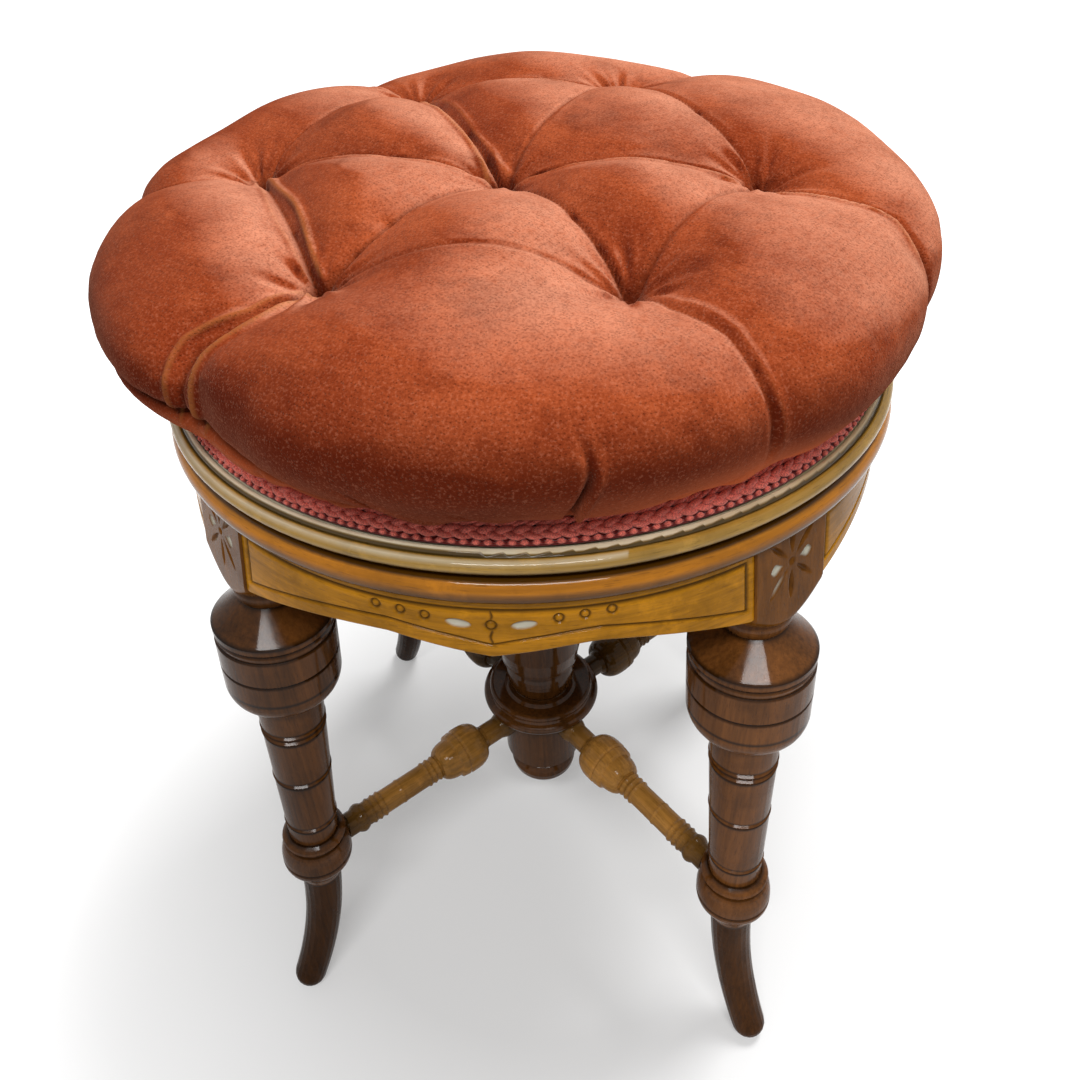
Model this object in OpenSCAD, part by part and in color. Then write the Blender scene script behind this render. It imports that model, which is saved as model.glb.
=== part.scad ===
// Revolving piano stool: a tufted round seat on an iron screw, over a turned walnut base.
// Origin on the floor under the centre of the seat, +Z up, the front apron panel faces -Y.
// All lengths are millimetres. The seat is drawn at its lowest, screwed right down.

/* [Base] */
// Height of the fixed base, from the floor to the top of its ring
base_h = 435; // [405:1:465]
// Outer diameter of the half-round ring on top of the apron
ring_d = 374; // [370:1:390]
// Height of that ring
ring_h = 13.5; // [12:0.5:18]
// Radial width of that ring
ring_w = 16; // [13:1:20]
// Thickness of the round board inside the ring
base_board_t = 9; // [9:0.5:12]

/* [Apron] */
// Setback of the apron's face behind the ring, where they meet
apron_setback = 6.5; // [5:0.25:10]
// Lean of the apron's face, its foot outwards
apron_flare = 8.5; // [4:0.5:10]
// Thickness of the apron panels
apron_t = 18; // [14:1:22]
// Height of a panel beside the corner blocks
apron_end_h = 38; // [34:0.5:42]
// Height of a panel at the top of its arch
apron_arch_h = 22.5; // [18:0.5:26]
// Height of a panel at its centre point
apron_point_h = 29; // [26:0.5:33]

/* [Corner blocks] */
// Width of a carved corner block
block_w = 45; // [42:1:50]
// Depth of a corner block, from its face inwards
block_d = 40; // [38:1:44]
// Height of a corner block
block_h = 50.5; // [46:0.5:56]

/* [Legs] */
// Lean of the legs, their feet outwards
leg_splay = 4.5; // [3:0.25:6]
// Setback of a leg's axis behind the ring, at the underside of its block
leg_setback = 18.85; // [16:0.05:21]
// Radius of the bead under the block
leg_bead_r = 17.6; // [16:0.2:19]
// Radius of the drum
drum_r = 31; // [28:0.5:33]
// Height of the drum, with its shoulder and its rounded underside
drum_h = 71.5; // [67:0.5:76]
// Radius of the shaft just under the drum
shaft_top_r = 18.6; // [17:0.2:20]
// Radius of the shaft just above the knop
shaft_low_r = 15.2; // [14:0.2:16.2]
// Radius of the knop
knop_r = 22; // [20:0.5:24]
// Height of the knop
knop_h = 47; // [44:1:52]
// Height above the floor at which the feet leave the legs
foot_h = 114.8; // [105:0.2:125]

/* [Feet] */
// Radius of a foot where it leaves the knop
foot_top_r = 12.6; // [11.6:0.2:13.6]
// Radius of the rounded toe
toe_r = 11; // [10:0.2:12]
// Radius of the outward sweep of a foot
foot_sweep_r = 285; // [260:1:310]
// Depth of the flat on which a toe rests
toe_flat = 0.8; // [0.5:0.1:1.2]

/* [Stretchers] */
// Radius of a stretcher's plain part
stretcher_r = 8; // [7:0.2:9]
// Radius of a stretcher's bulb
bulb_r = 16.5; // [14:0.5:18]
// Where the bulb begins, as a share of the span between hub and leg
bulb_from_share = 0.21; // [0.17:0.005:0.25]
// Where the bulb ends, as a share of the same span
bulb_to_share = 0.475; // [0.42:0.005:0.48]
// Radius of the round tenons at a stretcher's ends
tenon_r = 6; // [5:0.25:6.5]

/* [Column and hub] */
// Radius of the column at its belly
column_r = 29; // [27:0.5:32]
// Radius of the hub's collar
collar_r = 41.5; // [39:0.5:45]
// Radius of the hub under its collar
hub_r = 27.5; // [25:0.5:29]
// Height of the hub's top above the stretchers' centre line
hub_rise = 23; // [20:0.5:26]
// Depth of the hub's underside below that line
hub_drop = 48; // [44:1:54]
// Height of the finial under the hub
finial_h = 32; // [26:1:36]

/* [Screw] */
// Outer radius of the iron screw
screw_r = 11; // [10:0.25:12]
// Rise of the seat for one turn
screw_pitch = 8; // [6:0.5:9]
// Rise of the seat from its lowest to its highest
seat_rise = 96; // [80:1:100]
// Depth of the screw's thread
thread_depth = 1.8; // [1:0.1:2.4]
// Length of the nut in which the screw turns
nut_l = 45; // [35:1:50]
// Running clearance between screw and nut, on the radius
screw_fit = 0.05; // [0.02:0.01:0.1]

/* [Seat] */
// Setback of the moulded rim behind the base's ring
rim_setback = 1.5; // [0:0.25:3]
// Radial width of the moulded rim, with its bead
rim_w = 13.4; // [10:0.1:15]
// Height of the moulded rim
rim_h = 8.4; // [8:0.2:10]
// Gap between the base and the rim when the seat is right down
rest_gap = 0.65; // [0.5:0.05:1]
// Thickness of the seat board
seat_board_t = 14.5; // [13:0.5:17]
// Width of the gimp braid
gimp_w = 10.2; // [9:0.2:11]
// Thickness of the gimp braid
gimp_t = 2; // [1.5:0.1:2.4]

/* [Cushion] */
// Overhang of the cushion at its widest, past the rim
cushion_overhang = 16.5; // [10:0.5:22]
// Height of the cushion's widest part above the seat board
belly_h = 54; // [44:1:62]
// Height of the cushion's crown above the seat board
crown_h = 98; // [88:1:108]
// Distance of the outer tufts from the centre, as a share of the cushion's radius
tuft_share = 0.584; // [0.52:0.005:0.62]
// Depth of a tuft below the crown
tuft_depth = 27; // [18:1:32]
// Depth of the pleats between the tufts
pleat_depth = 19; // [10:0.5:22]

/* [Hidden] */
$fn = 96;

// Directions of the four legs and the four panels, in degrees from +X
front_left_angle = 225;
front_right_angle = 315;
back_right_angle = 45;
back_left_angle = 135;
panel_angle = 90;
leg_angles = [back_right_angle, back_left_angle, front_left_angle, front_right_angle];

wood_fit = 0.1;          // clearance of a wooden tenon in its hole, on the radius
overrun = 1;             // how far a cut runs past the face it opens
apron_top = base_h - ring_h;
ring_r = ring_d / 2;
ring_in_r = ring_r - ring_w;
apron_r = ring_r - apron_setback;
leg_top_r = ring_r - leg_setback;
base_board_r = ring_in_r - wood_fit;
base_board_top = apron_top + base_board_t;

// Seat levels, from the base up
rim_bottom = base_h + rest_gap;
rim_top = rim_bottom + rim_h;
rim_r = ring_r - rim_setback;
seat_board_r = rim_r - rim_w - wood_fit;
board_lift = 1.85;       // height of the seat board's underside above the rim's
board_chamfer = 4.5;     // height of the slope at the seat board's upper edge
foot_slope_share = 0.89; // width of that slope, as a share of its height
board_bottom = rim_bottom + board_lift;
board_top = board_bottom + seat_board_t;
cushion_r = rim_r + cushion_overhang;
cushion_foot_r = seat_board_r - board_chamfer * foot_slope_share;
tuft_at = tuft_share * cushion_r;

// Iron work
spider_t = 4;            // thickness of the spider plate
spider_hub_r = 28;       // radius of the spider's middle
spider_reach_share = 0.78; // reach of its arms, as a share of the distance to the tufts
spider_reach = spider_reach_share * tuft_at;
spider_arm_w = 20;       // width of an arm
spider_boss_r = 17;      // radius of the boss that holds the screw
spider_boss_h = 10;      // height of that boss above the plate
spider_arms = 4;
pin_r = 2.5;             // radius of the cross pin
wood_screw_r = 2;        // shank radius of a wood screw
wood_screw_head_r = 4;   // head radius of a wood screw
wood_screw_head_h = 2;   // height of its countersunk head
spider_screw_l = 13;     // length of the spider's screws
spider_screw_shares = [0.52, 0.97]; // share of spider_reach at which they stand
nut_flange_r = 36;       // radius of the nut plate
nut_flange_t = 3;        // thickness of the nut plate
nut_barrel_r = 17;       // radius of the nut's barrel
nut_screw_at = 28;       // distance of the nut plate's screws from the centre
nut_screw_l = 9;         // length of those screws
column_bore_r = 15.5;    // radius of the bore in the column
washer_r = 14;           // radius of the stop washer
washer_t = 4;            // thickness of the stop washer
spigot_r = 6;            // radius of the screw's end, under the washer's shoulder
washer_fit = 0.3;        // clearance of the washer on the screw's end, on the radius
stop_nut_r = 10;         // half the width of the stop nut, across its corners
stop_nut_t = 6;          // thickness of the stop nut
end_gap = 0.5;           // gap left at the stop when the seat is right up
iron_fit = 0.05;         // clearance between fixed iron pieces, on the radius

nut_top = base_board_top;
nut_bottom = nut_top - nut_l;
washer_top = nut_bottom - seat_rise - end_gap;
spider_bottom = board_bottom - spider_t;
spigot_end = washer_top - washer_t - washer_fit - stop_nut_t;
bore_foot = spigot_end - column_bore_r;

// Column, hub and finial
column_spigot_r = 12;    // radius of the column's tenon in the hub
column_spigot_l = 13;    // length of that tenon
column_head_r = 36;      // radius of the column's head, under the base board
finial_r = 24.3;         // radius of the finial
finial_spigot_r = 8;     // radius of the finial's tenon
finial_spigot_l = 28;    // length of the finial's tenon

// Legs: places along a leg's axis are measured down from the underside of the block
leg_tenon_r = 10;        // radius of the tenon in the block
leg_tenon_share = 0.65;  // length of that tenon, as a share of the block's height
leg_tenon_l = leg_tenon_share * block_h;
foot_tenon_r = 7;        // radius of the foot's tenon in the leg
foot_tenon_share = 0.34; // length of the foot's tenon, as a share of the knop's height
foot_tenon_l = foot_tenon_share * knop_h;
leg_l = (apron_top - block_h - foot_h) / cos(leg_splay);
knop_top = leg_l - knop_h;
stretcher_share = 0.54;  // share of the knop's height at which a stretcher enters it, from its foot
stretcher_z = foot_h + stretcher_share * knop_h;
hub_top = stretcher_z + hub_rise;
hub_foot = stretcher_z - hub_drop;
function leg_r_at(z) = leg_top_r + (apron_top - block_h - z) * tan(leg_splay);

// Tufting: six tufts in a ring round one in the middle
tufts = 6;
tuft_angles = [for (i = [0 : tufts - 1]) i * 360 / tufts];
tuft_places = concat([[0, 0]], [for (a = tuft_angles) [tuft_at * cos(a), tuft_at * sin(a)]]);
twine_r = 1.1;           // radius of the tufting twine
knot_r = 2.2;            // radius of a knot under the seat board
middle_twine_at = 36;    // distance from the centre at which the middle twine passes the board

module leg_frame(azimuth) {
    // Local frame of a leg: origin on its axis under the block, -Z along the leg
    rotate([0, 0, azimuth])
        translate([leg_top_r, 0, apron_top - block_h])
            rotate([0, -leg_splay, 0]) children();
}

module ring_section(section_r, section_z) {
    rotate_extrude() translate([section_r, section_z]) children();
}

// Cushion

fullness_share = 0.8;    // below 1 the stuffing bulges out past an ellipse

// Outline of the cushion without its tufts: foot to belly for t in 0..1, belly to crown for 1..2
function cushion_outline(t) = t <= 1
    ? [cushion_foot_r + (cushion_r - cushion_foot_r) * pow(sin(90 * t), fullness_share), belly_h * t]
    : [cushion_r * pow(cos(90 * (t - 1)), fullness_share),
       belly_h + (crown_h - belly_h) * pow(sin(90 * (t - 1)), fullness_share)];

// Distance of a point from the straight line between two others
function line_gap(p, a, b) = let (
        d = b - a,
        s = max(0, min(1, ((p - a) * d) / (d * d))))
    norm(p - a - s * d);

tuft_spread = 24;        // width of a tuft's dimple
pleat_spread = 15;       // width of a pleat
function bell(distance, spread) = exp(-pow(distance / spread, 2));

pleats = concat(
    [for (i = [1 : tufts]) [tuft_places[0], tuft_places[i]]],
    [for (i = [1 : tufts]) [tuft_places[i], tuft_places[i % tufts + 1]]],
    [for (a = tuft_angles) [[tuft_at * cos(a), tuft_at * sin(a)],
                            [cushion_r * cos(a), cushion_r * sin(a)]]]);
// How tightly each pleat is drawn: middle to ring, ring tuft to ring tuft, ring tuft to side
pull_shares = [0.55, 0.25, 0.85, 0.6, 0.6, 0.6,  0.35, 0.6, 0.3, 0.85, 0.05, 0.3,
               0.5, 0.4, 0.4, 0.4, 0.7, 0.35];

function tuft_pull(p) = max([for (c = tuft_places) bell(norm(p - c), tuft_spread)]);
function pleat_pull(p) = max([for (i = [0 : len(pleats) - 1])
    pull_shares[i] * bell(line_gap(p, pleats[i][0], pleats[i][1]), pleat_spread)]);

foot_rings = 6;
crown_rings = 16;
turn_share = 0.4;        // part of the crown's outline over which the pull turns downwards
cushion_sides = 48;
cushion_steps = concat(
    [for (i = [0 : foot_rings - 1]) i / foot_rings],
    [for (i = [0 : crown_rings - 1]) 1 + pow(i / crown_rings, 1.15)]);

// A tuft or pleat draws the side straight in and the crown straight down
function cushion_point(t, angle) = let (
        o = cushion_outline(t),
        p = o[0] * [cos(angle), sin(angle)],
        tuft = tuft_pull(p),
        pull = min(1, t) * (tuft * tuft_depth + (1 - tuft) * pleat_pull(p) * pleat_depth),
        tilt_angle = 90 * min(1, max(0, t - 1) / turn_share),
        r = o[0] - pull * cos(tilt_angle))
    [r * cos(angle), r * sin(angle), board_top + o[1] - pull * sin(tilt_angle)];

module cushion() {
    rows = len(cushion_steps);
    points = concat(
        [for (t = cushion_steps) for (j = [0 : cushion_sides - 1])
            cushion_point(t, j * 360 / cushion_sides)],
        [cushion_point(2, 0), [0, 0, board_top]]);
    crown = rows * cushion_sides;
    faces = concat(
        [for (i = [0 : rows - 2]) for (j = [0 : cushion_sides - 1]) let (
                k = (j + 1) % cushion_sides,
                a = i * cushion_sides + j, b = i * cushion_sides + k,
                c = a + cushion_sides, d = b + cushion_sides)
            each [[a, c, b], [b, c, d]]],
        [for (j = [0 : cushion_sides - 1]) let (k = (j + 1) % cushion_sides)
            [(rows - 1) * cushion_sides + j, crown, (rows - 1) * cushion_sides + k]],
        [for (j = [0 : cushion_sides - 1]) let (k = (j + 1) % cushion_sides)
            [j, k, crown + 1]]);
    color([0.70, 0.25, 0.16]) polyhedron(points, faces);
}

// Seat

module twine_places() {
    for (a = tuft_angles) rotate([0, 0, a]) translate([tuft_at, 0, 0]) children();
    rotate([0, 0, 45]) translate([middle_twine_at, 0, 0]) children();
}

module tuft_twines() {
    color([0.80, 0.74, 0.60]) twine_places() {
        translate([0, 0, board_bottom - knot_r / 2])
            cylinder(r = twine_r, h = board_top - board_bottom + knot_r / 2, $fn = 24);
        translate([0, 0, board_bottom - knot_r]) sphere(r = knot_r, $fn = 24);
    }
}

gimp_clear = 0.3;        // gap between the gimp and what it lies against
gimp_stand = 4;          // distance of its lower edge outside the seat board
gimp_tilt = 50;          // slope of the gimp from the floor
gimp_r = seat_board_r + gimp_stand; // radius of the gimp's lower edge, at its back

module gimp_braid() {
    color([0.62, 0.22, 0.22])
        ring_section(gimp_r, rim_top + gimp_clear)
            rotate(90 - gimp_tilt) square([gimp_t, gimp_w]);
}

bead_r = 3.5;            // radius of the rim's outer bead
small_bead_r = 2;        // radius of the bead on its shoulder
rim_step = 4.5;          // setback of the rim's foot and shoulder behind the outer bead

module seat_rim() {
    color([0.66, 0.56, 0.30]) {
        rotate_extrude() {
            translate([seat_board_r + wood_fit, rim_bottom])
                square([rim_r - rim_step - seat_board_r - wood_fit, rim_h]);
            translate([rim_r - bead_r, rim_bottom + rim_h / 6 + bead_r])
                circle(r = bead_r, $fn = 48);
            translate([rim_r - rim_step - small_bead_r, rim_top])
                circle(r = small_bead_r, $fn = 32);
        }
    }
}

module seat_board() {
    color([0.62, 0.47, 0.30]) difference() {
        rotate_extrude() polygon([
            [0, board_bottom], [seat_board_r, board_bottom],
            [seat_board_r, board_top - board_chamfer],
            [cushion_foot_r, board_top], [0, board_top]]);
        translate([0, 0, board_bottom - overrun])
            cylinder(r = spider_boss_r + wood_fit, h = spider_boss_h + wood_fit + overrun);
        twine_places() translate([0, 0, board_bottom - overrun])
            cylinder(r = twine_r + wood_fit, h = seat_board_t + 2 * overrun, $fn = 24);
        spider_screw_places() translate([0, 0, spider_bottom])
            cylinder(r = wood_screw_r + iron_fit, h = spider_screw_l + iron_fit, $fn = 24);
    }
}

// Iron work

module wood_screw(length) {
    // Head face at the origin, shank along +Z
    cylinder(r1 = wood_screw_head_r, r2 = wood_screw_r, h = wood_screw_head_h, $fn = 32);
    cylinder(r = wood_screw_r, h = length, $fn = 32);
}

module countersink(length) {
    translate([0, 0, -overrun])
        cylinder(r = wood_screw_head_r + iron_fit, h = overrun, $fn = 32);
    cylinder(r1 = wood_screw_head_r + iron_fit, r2 = wood_screw_r + iron_fit,
        h = wood_screw_head_h, $fn = 32);
    cylinder(r = wood_screw_r + iron_fit, h = length, $fn = 32);
}

module spider_screw_places() {
    for (i = [0 : spider_arms - 1]) rotate([0, 0, i * 360 / spider_arms])
        for (share = spider_screw_shares) translate([share * spider_reach, 0, 0]) children();
}

module spider_plate() {
    color([0.16, 0.15, 0.15]) difference() {
        union() {
            translate([0, 0, spider_bottom]) cylinder(r = spider_hub_r, h = spider_t);
            for (i = [0 : spider_arms - 1]) rotate([0, 0, i * 360 / spider_arms]) {
                translate([0, -spider_arm_w / 2, spider_bottom])
                    cube([spider_reach, spider_arm_w, spider_t]);
                translate([spider_reach, 0, spider_bottom])
                    cylinder(d = spider_arm_w, h = spider_t);
            }
            translate([0, 0, spider_bottom])
                cylinder(r = spider_boss_r, h = spider_t + spider_boss_h);
        }
        translate([0, 0, spider_bottom - overrun])
            cylinder(r = screw_r + iron_fit, h = spider_t + spider_boss_h + 2 * overrun);
        spider_screw_places() translate([0, 0, spider_bottom])
            countersink(spider_t + overrun);
        cross_pin(pin_r + iron_fit, spider_boss_r + overrun);
    }
}

module spider_screws() {
    color([0.30, 0.28, 0.26]) spider_screw_places()
        translate([0, 0, spider_bottom]) wood_screw(spider_screw_l);
}

pin_z = board_bottom + spider_boss_h / 2;

module cross_pin(radius, half_length) {
    translate([-half_length, 0, pin_z]) rotate([0, 90, 0])
        cylinder(r = radius, h = 2 * half_length, $fn = 32);
}

module screw_pin() {
    color([0.45, 0.44, 0.43]) cross_pin(pin_r, spider_boss_r - iron_fit);
}

// Thread: one groove a pitch, cut as rings, from the shoulder up to the spider plate
thread_top = spider_bottom - screw_pitch / 4;
thread_turns = floor((thread_top - washer_top) / screw_pitch);
crest_share = 0.42;      // share of the pitch that the crest fills

module seat_screw() {
    grooves = [for (i = [0 : thread_turns - 1]) thread_top - i * screw_pitch];
    color([0.36, 0.34, 0.32]) difference() {
        rotate_extrude() polygon(concat(
            [[0, board_bottom + spider_boss_h], [screw_r, board_bottom + spider_boss_h]],
            [for (z = grooves) each [
                [screw_r, z],
                [screw_r - thread_depth, z - (1 - crest_share) * screw_pitch / 3],
                [screw_r - thread_depth, z - (1 - crest_share) * screw_pitch * 2 / 3],
                [screw_r, z - (1 - crest_share) * screw_pitch]]],
            [[screw_r, washer_top], [spigot_r, washer_top],
             [spigot_r, spigot_end], [0, spigot_end]]));
        cross_pin(pin_r + iron_fit, screw_r + overrun);
    }
}

module stop_washer() {
    color([0.42, 0.40, 0.38]) difference() {
        translate([0, 0, washer_top - washer_fit - washer_t])
            cylinder(r = washer_r, h = washer_t);
        translate([0, 0, washer_top - washer_fit - washer_t - overrun])
            cylinder(r = spigot_r + washer_fit, h = washer_t + 2 * overrun);
    }
}

module stop_nut() {
    // Screwed on and riveted over, so the washer can't come off
    color([0.40, 0.38, 0.36]) difference() {
        translate([0, 0, spigot_end]) cylinder(r = stop_nut_r, h = stop_nut_t - washer_fit, $fn = 6);
        translate([0, 0, spigot_end - overrun])
            cylinder(r = spigot_r + iron_fit, h = stop_nut_t + 2 * overrun);
    }
}

nut_screws = 4;

module nut_screw_places() {
    for (i = [0 : nut_screws - 1]) rotate([0, 0, 45 + i * 360 / nut_screws])
        translate([nut_screw_at, 0, nut_top]) mirror([0, 0, 1]) children();
}

module nut_plate() {
    color([0.18, 0.17, 0.16]) difference() {
        union() {
            translate([0, 0, nut_top - nut_flange_t]) cylinder(r = nut_flange_r, h = nut_flange_t);
            translate([0, 0, nut_bottom]) cylinder(r = nut_barrel_r, h = nut_l);
        }
        translate([0, 0, nut_bottom - overrun])
            cylinder(r = screw_r + screw_fit, h = nut_l + 2 * overrun);
        nut_screw_places() countersink(nut_flange_t + overrun);
    }
}

module nut_plate_screws() {
    color([0.30, 0.28, 0.26]) nut_screw_places() wood_screw(nut_screw_l);
}

// Base

module base_ring() {
    color([0.66, 0.40, 0.14]) rotate_extrude() {
        translate([ring_in_r, apron_top]) square([ring_w - ring_h / 2, ring_h]);
        translate([ring_r - ring_h / 2, apron_top + ring_h / 2]) circle(d = ring_h, $fn = 64);
    }
}

module base_board() {
    color([0.50, 0.36, 0.22]) difference() {
        translate([0, 0, apron_top]) cylinder(r = base_board_r, h = base_board_t);
        translate([0, 0, nut_top - nut_flange_t])
            cylinder(r = nut_flange_r + wood_fit, h = nut_flange_t + overrun);
        translate([0, 0, apron_top - overrun])
            cylinder(r = nut_barrel_r + wood_fit, h = base_board_t + 2 * overrun);
        nut_screw_places() cylinder(r = wood_screw_r + iron_fit, h = nut_screw_l + iron_fit, $fn = 24);
    }
}

// Lower edge of a panel: its height below the ring at a distance from the panel's middle
apron_apex = block_w / sqrt(2); // distance of the panels' corner from the centre
panel_half_w = (sqrt(2 * pow(apron_r, 2) - pow(apron_apex, 2)) - apron_apex) / 2;
panel_reach_share = 1.06; // how far past a block's side the outline is drawn, as a share
point_shift = 6.5;       // distance of the centre point from the panel's middle
point_half_w = 44;       // half the width of the centre point
arch_share = 0.3;        // share of the half width at the top of the arch
point_power = 1.1;       // how sharp the centre point is
arch_power = 1.9;        // how late the lower edge turns down at a panel's ends
edge_steps = 40;         // straight stretches along half of the lower edge
function panel_h(across) = let (
        tip = abs(across - point_shift) / point_half_w,
        side = min(1, abs(across) / panel_half_w))
    apron_arch_h
    + (apron_point_h - apron_arch_h) * pow(max(0, 1 - tip), point_power)
    + (apron_end_h - apron_arch_h) * pow(max(0, (side - arch_share) / (1 - arch_share)), arch_power);

module apron_panel(azimuth) {
    foot_r = apron_r + apron_end_h * tan(apron_flare);
    reach = panel_reach_share * panel_half_w;
    rotate([0, 0, azimuth]) color([0.72, 0.48, 0.12]) intersection() {
        rotate_extrude() polygon([
            [apron_r, apron_top], [foot_r, apron_top - apron_end_h],
            [foot_r - apron_t, apron_top - apron_end_h], [apron_r - apron_t, apron_top]]);
        translate([0, 0, apron_top - apron_end_h]) linear_extrude(apron_end_h)
            polygon([[apron_apex, 0], [apron_apex + ring_d, ring_d],
                [apron_apex + ring_d, -ring_d]]);
        translate([0, 0, apron_top]) rotate([90, 0, 90]) linear_extrude(ring_d)
            polygon(concat(
                [for (i = [-edge_steps : edge_steps]) let (across = reach * i / edge_steps)
                    [across, -panel_h(across)]],
                [[reach, 0], [-reach, 0]]));
    }
}

pommel_h = 14.5;         // height over which a block tapers in to its leg
pommel_lip = 1;          // how far its foot stands out past the bead below it
star_share = 0.33;       // share of a block's height at which its carved star is centred

module corner_block(azimuth) {
    star_z = block_h * star_share;
    face_r = apron_r + star_z * tan(apron_flare);
    corner_r = block_w / sqrt(2);
    color([0.36, 0.20, 0.10]) difference() {
        intersection() {
            rotate([0, 0, azimuth]) intersection() {
                translate([face_r, 0, apron_top - star_z]) rotate([0, -apron_flare, 0])
                    translate([-block_d, -block_w / 2, -2 * block_h])
                        cube([block_d, block_w, 4 * block_h]);
                translate([0, -block_w, apron_top - 2 * block_h])
                    cube([ring_d, 2 * block_w, 2 * block_h]);
            }
            leg_frame(azimuth) rotate_extrude() polygon([
                [0, 0], [leg_bead_r + pommel_lip, 0], [corner_r, pommel_h],
                [corner_r, 2 * block_h], [0, 2 * block_h]]);
        }
        leg_frame(azimuth) translate([0, 0, -overrun])
            cylinder(r = leg_tenon_r + wood_fit, h = leg_tenon_l + wood_fit + overrun);
    }
}

// Profile of a leg, [radius, distance down the axis], from the block to the foot
bead_h = 12.6;           // height of the bead under the block
bead_swell = 2.8;        // swell of that bead
shoulder_h = 13.8;       // height of the drum's conical shoulder
band_h = 9;              // height of the drum's upper band
ring_groove = 0.9;       // depth of the turned grooves
ring_groove_w = 2;       // width of the turned grooves
shaft_ring_shares = [0.18, 0.214, 0.528, 0.88]; // shares of the shaft's length at its rings

function shaft_r_at(share) = shaft_top_r + (shaft_low_r - shaft_top_r) * share;
function shaft_ring(share) = let (
        z = bead_h + drum_h + share * (knop_top - bead_h - drum_h),
        r = shaft_r_at(share))
    [[r, z - ring_groove_w], [r - ring_groove, z - ring_groove_w / 2],
     [r + ring_groove / 2, z], [r - ring_groove, z + ring_groove_w / 2], [r, z + ring_groove_w]];

function bulge(r_low, r_high, top, height, steps) = [for (i = [0 : steps])
    [r_low + (r_high - r_low) * sin(180 * i / steps), top + height * i / steps]];

drum_top = bead_h + shoulder_h;
drum_foot = bead_h + drum_h;
ovolo_h = 13;            // height of the drum's rounded underside
foot_bead_h = 4.5;       // height of the bead under that
knop_bead = 4.6;         // swell of the bead on top of the knop

leg_profile = concat(
    [[0, 0], [leg_bead_r - bead_swell, 0]],
    bulge(leg_bead_r - bead_swell, leg_bead_r, 0, bead_h, 8),
    [[drum_r - ring_groove, drum_top - ring_groove], [drum_r, drum_top],
     [drum_r, drum_top + band_h / 3], [drum_r - ring_groove, drum_top + band_h / 2],
     [drum_r - ring_groove / 3, drum_top + band_h * 2 / 3],
     [drum_r - ring_groove, drum_top + band_h], [drum_r, drum_top + band_h + ring_groove],
     [drum_r, drum_top + 3 * band_h - ring_groove_w],
     [drum_r - ring_groove, drum_top + 3 * band_h - ring_groove],
     [drum_r, drum_top + 3 * band_h]],
    [for (a = [10 : 10 : 80])
        [shaft_top_r + foot_bead_h + (drum_r - shaft_top_r - foot_bead_h) * cos(a),
         drum_foot - foot_bead_h - ovolo_h * (1 - sin(a))]],
    bulge(shaft_top_r + foot_bead_h / 3, shaft_top_r + foot_bead_h * 0.8,
        drum_foot - foot_bead_h, foot_bead_h, 6),
    [[shaft_top_r, drum_foot + ring_groove_w]],
    [for (share = shaft_ring_shares) each shaft_ring(share)],
    [[shaft_low_r, knop_top]],
    bulge(shaft_low_r + ring_groove, shaft_low_r + knop_bead, knop_top, knop_h * 0.17, 6),
    [for (a = [0 : 15 : 75])
        [shaft_low_r + ring_groove_w + (knop_r - shaft_low_r - ring_groove_w) * sin(a),
         knop_top + knop_h * (0.47 - 0.28 * cos(a))]],
    [[knop_r, knop_top + knop_h * 0.47],
     [knop_r - ring_groove, knop_top + knop_h * 0.5],
     [knop_r, knop_top + knop_h * 0.53]],
    [for (a = [15 : 15 : 75])
        [foot_top_r + ring_groove_w + (knop_r - foot_top_r - ring_groove_w) * cos(a),
         knop_top + knop_h * (0.53 + 0.2 * sin(a))]],
    bulge(foot_top_r + ring_groove_w, foot_top_r + 2 * ring_groove_w,
        knop_top + knop_h * 0.74, knop_h * 0.12, 6),
    [[foot_top_r + ring_groove, leg_l - ring_groove_w], [foot_top_r + ring_groove, leg_l]],
    [[0, leg_l]]);

module leg(azimuth) {
    color([0.34, 0.17, 0.09]) difference() {
        leg_frame(azimuth) {
            mirror([0, 0, 1]) rotate_extrude() polygon(leg_profile);
            cylinder(r = leg_tenon_r, h = leg_tenon_l);
        }
        leg_frame(azimuth) translate([0, 0, -leg_l - overrun])
            cylinder(r = foot_tenon_r + wood_fit, h = foot_tenon_l + wood_fit + overrun);
        rotate([0, 0, azimuth]) translate([span_at(0.9), 0, stretcher_z]) rotate([0, 90, 0])
            cylinder(r = tenon_r + wood_fit, h = stretcher_end_r + wood_fit - span_at(0.9), $fn = 48);
    }
}

// Feet: a tapered round member swept outwards from the leg's axis to the floor
foot_sides = 20;
foot_steps = 16;
toe_steps = 6;
foot_r0 = leg_top_r + leg_l * sin(leg_splay);
foot_z0 = apron_top - block_h - leg_l * cos(leg_splay);
foot_drop = foot_z0 - toe_r + toe_flat;
foot_end_angle = asin(sin(leg_splay) + foot_drop / foot_sweep_r);
function foot_centre(angle) = [
    foot_r0 + foot_sweep_r * (cos(leg_splay) - cos(angle)),
    foot_z0 - foot_sweep_r * (sin(angle) - sin(leg_splay))];
function foot_ring(centre, angle, radius, ahead) = [for (i = [0 : foot_sides - 1]) let (
        a = i * 360 / foot_sides,
        c = radius * cos(a))
    [centre[0] + c * cos(angle) + ahead * sin(angle), radius * sin(a),
     centre[1] + c * sin(angle) - ahead * cos(angle)]];

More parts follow.
